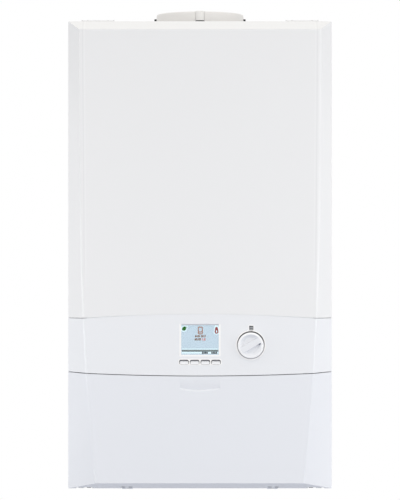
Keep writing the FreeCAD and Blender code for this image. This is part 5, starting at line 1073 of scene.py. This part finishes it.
def joint_light_fill():
    """An arched pale strip in the joint that stands in for light in its shade, nearly flush in the middle."""
    low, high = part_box("control_fascia")
    radius = (JOINT_HALF ** 2 + JOINT_RISE ** 2) / (2 * JOINT_RISE)
    pale_strip = start("joint_light_fill", bpy.ops.mesh.primitive_grid_add, x_subdivisions=JOINT_STEPS, y_subdivisions=1,
                size=1.0)
    pale_strip.scale = (2 * JOINT_REACH, JOINT_GAP, 1.0)
    close(pale_strip)
    edit(pale_strip)
    for step in range(JOINT_STEPS + 1):
        x = (2 * step / JOINT_STEPS - 1) * JOINT_REACH
        pick(pale_strip, "verts", lambda vert, x=x: abs(vert.co.x - x) < COLUMN_TOLERANCE)
        drop = radius - math.sqrt(radius ** 2 - x ** 2)
        sink = JOINT_DEPTHS[0] + (JOINT_DEPTHS[1] - JOINT_DEPTHS[0]) * (x / JOINT_REACH) ** 2
        bpy.ops.transform.translate(value=(0.0, -drop, -sink))
    place = ((low.x + high.x) / 2, FASCIA_FACE + FILL_THICKNESS / 2, high.z + JOINT_GAP / 2)
    stand_up(pale_strip, place, thickness=FILL_THICKNESS)
    # white moulding in the joint: painted light where the gap is in shade
    settle(pale_strip, "control_box", FINISHES["moulding_white"])


# Black caps on the pivot pins' heads, and a dark rubber ring under the test plug's brow whose dark stands for
# the shadow at the plug's foot

PIVOT_CAP_PLACE = (168.5 * MM, -196.0 * MM, -639.0 * MM)
PIVOT_CAP_LENGTH = 6.6 * MM
PIVOT_CAP_RADIUS = 4.85 * MM
PIVOT_CAP_WALL = 0.22 * MM
PIVOT_CAP_ROUNDING = 0.7 * MM
PIVOT_CAP_SOCKET = 2.2 * MM
FLUE_Y = -130.0 * MM
TURRET_RADIUS = 67.0 * MM
PLUG_SHADOW_RADII = (7.3 * MM, 4.0 * MM)
PLUG_SHADOW_HEIGHT = 2.4 * MM
PLUG_SHADOW_ROUNDING = 0.3 * MM


def pivot_caps():
    """A cup over each pin's head, with a hexagon socket in its closed end."""
    cap = start("pivot_cap_right", bpy.ops.mesh.primitive_cylinder_add, vertices=48,
                radius=PIVOT_CAP_RADIUS, depth=PIVOT_CAP_LENGTH)
    edit(cap)
    pick(cap, "faces", faces_towards((0, 0, -1)))
    bpy.ops.mesh.inset(thickness=PIVOT_CAP_WALL)
    cup_depth = PIVOT_CAP_LENGTH - 2 * PIVOT_CAP_WALL
    bpy.ops.mesh.extrude_region_move(TRANSFORM_OT_translate={"value": (0, 0, cup_depth)})
    pick(cap, "edges", edges_above(PIVOT_CAP_LENGTH / 2 - TOP_TOLERANCE))
    bpy.ops.mesh.bevel(offset=PIVOT_CAP_ROUNDING, segments=3)
    bpy.ops.object.mode_set(mode="OBJECT")
    socket = start("socket_cutter", bpy.ops.mesh.primitive_cylinder_add, vertices=6, radius=PIVOT_CAP_SOCKET,
                   depth=PIVOT_CAP_WALL, location=(0.0, 0.0, PIVOT_CAP_LENGTH / 2))
    cut(cap, socket)
    cap.rotation_euler = (0.0, math.pi / 2, 0.0)
    cap.location = PIVOT_CAP_PLACE
    close(cap)
    caps = [cap, copy_of(cap, "pivot_cap_left", (0.0, 2 * PIVOT_CAP_PLACE[1], 0.0), (0.0, 0.0, math.pi))]
    for piece in caps:
        settle(piece, "chassis", FINISHES["screw_black"])


def plug_foot_shadow():
    """A dark rubber lip under the part of the test plug that stands out of the turret, standing for the shadow
    at the plug's foot.
    """
    low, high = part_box("flue_test_plug")
    centre = (low + high) / 2
    shadow_ring = start("test_plug_foot_shadow", bpy.ops.mesh.primitive_circle_add, vertices=64, radius=PLUG_SHADOW_RADII[0])
    edit(shadow_ring)
    bpy.ops.mesh.select_all(action="SELECT")
    bpy.ops.mesh.extrude_region_move()
    ratio = PLUG_SHADOW_RADII[1] / PLUG_SHADOW_RADII[0]
    bpy.ops.transform.resize(value=(ratio, ratio, 1.0))
    level = low.z - PLUG_SHADOW_HEIGHT / 2
    shadow_ring.location = (0.0, centre.y, level)
    close(shadow_ring)
    apply_modifier(shadow_ring, "SOLIDIFY", thickness=PLUG_SHADOW_HEIGHT, offset=0.0)
    apply_modifier(shadow_ring, "BEVEL", width=PLUG_SHADOW_ROUNDING, segments=2)
    wall = start("turret_cutter", bpy.ops.mesh.primitive_cylinder_add, vertices=256, radius=TURRET_RADIUS,
                 depth=3 * PLUG_SHADOW_HEIGHT, location=(0.0, FLUE_Y, level))
    cut(shadow_ring, wall)
    # dark rubber as painted shadow under the plug
    settle(shadow_ring, "chassis", FINISHES["rubber_black"])


# Screws with a domed head and a cross recess

SCREW_RADIUS = 3.2 * MM
SCREW_HEIGHT = 2.0 * MM
SCREW_CROSS = (3.6 * MM, 0.8 * MM, 2.4 * MM)
SCREW_ROUNDING = 1.3 * MM
SMOOTH_ANGLE = math.radians(35)

# Each set's body, turn and places on the right side in millimetres
SCREW_SETS = {
    "top_screw": ("chassis", (0.0, 0.0, 0.0), [(188, -20, 60), (188, -165, 60)]),
    "back_screw": ("chassis", (-math.pi / 2, 0.0, 0.0), [(178, -10, -580), (178, -10, -300), (178, -10, -40)]),
    "tray_screw": ("chassis", (math.pi, 0.0, 0.0), [(184, -30, -622), (184, -140, -622)]),
    "cover_screw": ("control_box", (math.pi / 2, 0.0, 0.0), [(146, -264.5, -612), (146, -264.5, -471)]),
}


def screw_pattern():
    """One screw head that looks up, seated at the origin."""
    head = start("screw_pattern", bpy.ops.mesh.primitive_cylinder_add, vertices=32, radius=SCREW_RADIUS,
                 depth=SCREW_HEIGHT, location=(0.0, 0.0, SCREW_HEIGHT / 2))
    close(head)
    edit(head)
    pick(head, "edges", edges_above(SCREW_HEIGHT - TOP_TOLERANCE))
    bpy.ops.mesh.bevel(offset=SCREW_ROUNDING, segments=4)
    bpy.ops.object.mode_set(mode="OBJECT")
    for turn in (0.0, math.pi / 2):
        slot = start("slot_cutter", bpy.ops.mesh.primitive_cube_add, size=1.0,
                     location=(0.0, 0.0, SCREW_HEIGHT))
        slot.scale = SCREW_CROSS
        slot.rotation_euler = (0.0, 0.0, turn)
        close(slot)
        cut(head, slot)
    hold(head)
    bpy.ops.object.shade_smooth_by_angle(angle=SMOOTH_ANGLE)
    return head


def screws():
    """The screws of the top sheet, back sheet, bottom tray and terminal cover, in pairs left and right."""
    pattern = screw_pattern()
    steel = FINISHES["galvanised"]
    for kind, (body, turn, places) in SCREW_SETS.items():
        for number, (x, y, z) in enumerate(places, start=1):
            for side, across in (("right", x), ("left", -x)):
                piece = copy_of(pattern, f"{kind}_{number}_{side}", Vector((across, y, z)) * MM, turn)
                settle(piece, body, steel)
    discard(pattern)


display_picture()
radiator_sign()
button_gap_shadows()
knob_corner_shadow()
painted_surrounds()
joint_light_fill()
pivot_caps()
plug_foot_shadow()
screws()


# Camera, studio light and floor

def add_camera():
    """The photograph's view."""
    bpy.ops.object.camera_add(location=CAMERA_PLACE, rotation=(math.pi / 2, 0.0, 0.0))
    camera = bpy.context.active_object
    camera.data.sensor_width = SENSOR
    camera.data.lens = FOCAL_PX / PICTURE_HEIGHT_PX * SENSOR
    camera.data.shift_y = HORIZON_BELOW_CENTRE_PX / PICTURE_HEIGHT_PX
    camera.data.clip_end = CAMERA_RANGE
    bpy.context.scene.camera = camera


def seen_directly(tree):
    """1 for rays from the camera or through a mirror or glass, 0 for the rays that light surfaces."""
    rays = tree.nodes.new("ShaderNodeLightPath")
    result = rays.outputs["Is Camera Ray"]
    for output in ("Is Glossy Ray", "Is Transmission Ray"):
        result = combined(tree, "MAXIMUM", result, rays.outputs[output])
    return result


def show(tree, output, lighting, seen):
    """Puts out one shader for the rays that light surfaces and another for those that see it directly."""
    mix = tree.nodes.new("ShaderNodeMixShader")
    tree.links.new(seen_directly(tree), mix.inputs["Fac"])
    tree.links.new(lighting, mix.inputs[1])
    tree.links.new(seen, mix.inputs[2])
    tree.links.new(mix.outputs["Shader"], tree.nodes[output].inputs["Surface"])


SKY_STOPS = (
    (0.0, (0.24, 0.263, 0.315, 1.0)),
    (0.5, (0.475, 0.478, 0.478, 1.0)),
    (1.0, (0.935, 0.925, 0.90, 1.0)),
)
SKY_LEVEL = 1.24


def add_world():
    """A white surround to look at, and a soft light that is brighter from above."""
    world = bpy.data.worlds.new("studio")
    bpy.context.scene.world = world
    world.use_nodes = True
    nodes, links = world.node_tree.nodes, world.node_tree.links
    white = nodes["Background"]
    white.inputs["Color"].default_value = (1.0, 1.0, 1.0, 1.0)
    white.inputs["Strength"].default_value = 1.0
    direction = nodes.new("ShaderNodeTexCoord")
    split = nodes.new("ShaderNodeSeparateXYZ")
    height = nodes.new("ShaderNodeMapRange")
    height.inputs["From Min"].default_value = -1.0
    ramp = nodes.new("ShaderNodeValToRGB")
    stops = ramp.color_ramp.elements
    while len(stops) < len(SKY_STOPS):
        stops.new(0.5)
    for stop, (position, colour) in zip(stops, SKY_STOPS):
        stop.position = position
        stop.color = colour
    soft = nodes.new("ShaderNodeBackground")
    soft.inputs["Strength"].default_value = SKY_LEVEL
    links.new(direction.outputs["Generated"], split.inputs["Vector"])
    links.new(split.outputs["Z"], height.inputs["Value"])
    links.new(height.outputs["Result"], ramp.inputs["Fac"])
    links.new(ramp.outputs["Color"], soft.inputs["Color"])
    show(world.node_tree, "World Output", soft.outputs["Background"], white.outputs["Background"])


def add_lamp(name, place, size, radiance, colour, mirrored):
    """A soft rectangular lamp that faces the boiler, given by how bright its face is."""
    bpy.ops.object.light_add(type="AREA", location=place)
    lamp = bpy.context.active_object
    lamp.name = name
    lamp.data.shape = "RECTANGLE"
    lamp.data.size, lamp.data.size_y = size
    lamp.data.energy = radiance * math.pi * size[0] * size[1]
    lamp.data.color = colour
    lamp.rotation_euler = (AIM - Vector(place)).to_track_quat("-Z", "Y").to_euler()
    lamp.visible_camera = False
    lamp.visible_glossy = mirrored


def add_lights():
    """A key lamp above, a fill by the camera, a strip on the right, and pairs before, beside and behind."""
    for lamp in LAMPS:
        add_lamp(*lamp)
    for number, side in enumerate((1, -1)):
        for name, (x, y, z), size, radiances in PAIRED_LAMPS:
            add_lamp(f"{name}_{side}", (side * x, y, z), size, radiances[number], COOL, True)


def add_floor():
    """A pale round floor below the boiler, near white to the eye, that keeps the shadow."""
    floor = disc("floor", vertices=96, radius=FLOOR_RADIUS)
    floor.location = (0.0, 0.0, cad_box[0][2] - FLOOR_DROP)
    close(floor)
    material = bpy.data.materials.new("floor_paper")
    material.use_nodes = True
    nodes, links = material.node_tree.nodes, material.node_tree.links
    paper = nodes["Principled BSDF"]
    paper.inputs["Base Color"].default_value = FLOOR_COLOUR
    paper.inputs["Roughness"].default_value = 0.9
    paper.inputs["Specular IOR Level"].default_value = 0.0
    glow = nodes.new("ShaderNodeEmission")
    glow.inputs["Strength"].default_value = FLOOR_GLOW
    both = nodes.new("ShaderNodeAddShader")
    links.new(paper.outputs["BSDF"], both.inputs[0])
    links.new(glow.outputs["Emission"], both.inputs[1])
    show(material.node_tree, "Material Output", paper.outputs["BSDF"], both.outputs["Shader"])
    floor.data.materials.append(material)


add_camera()
add_world()
add_lights()
add_floor()
bpy.context.scene.view_settings.view_transform = "Standard"
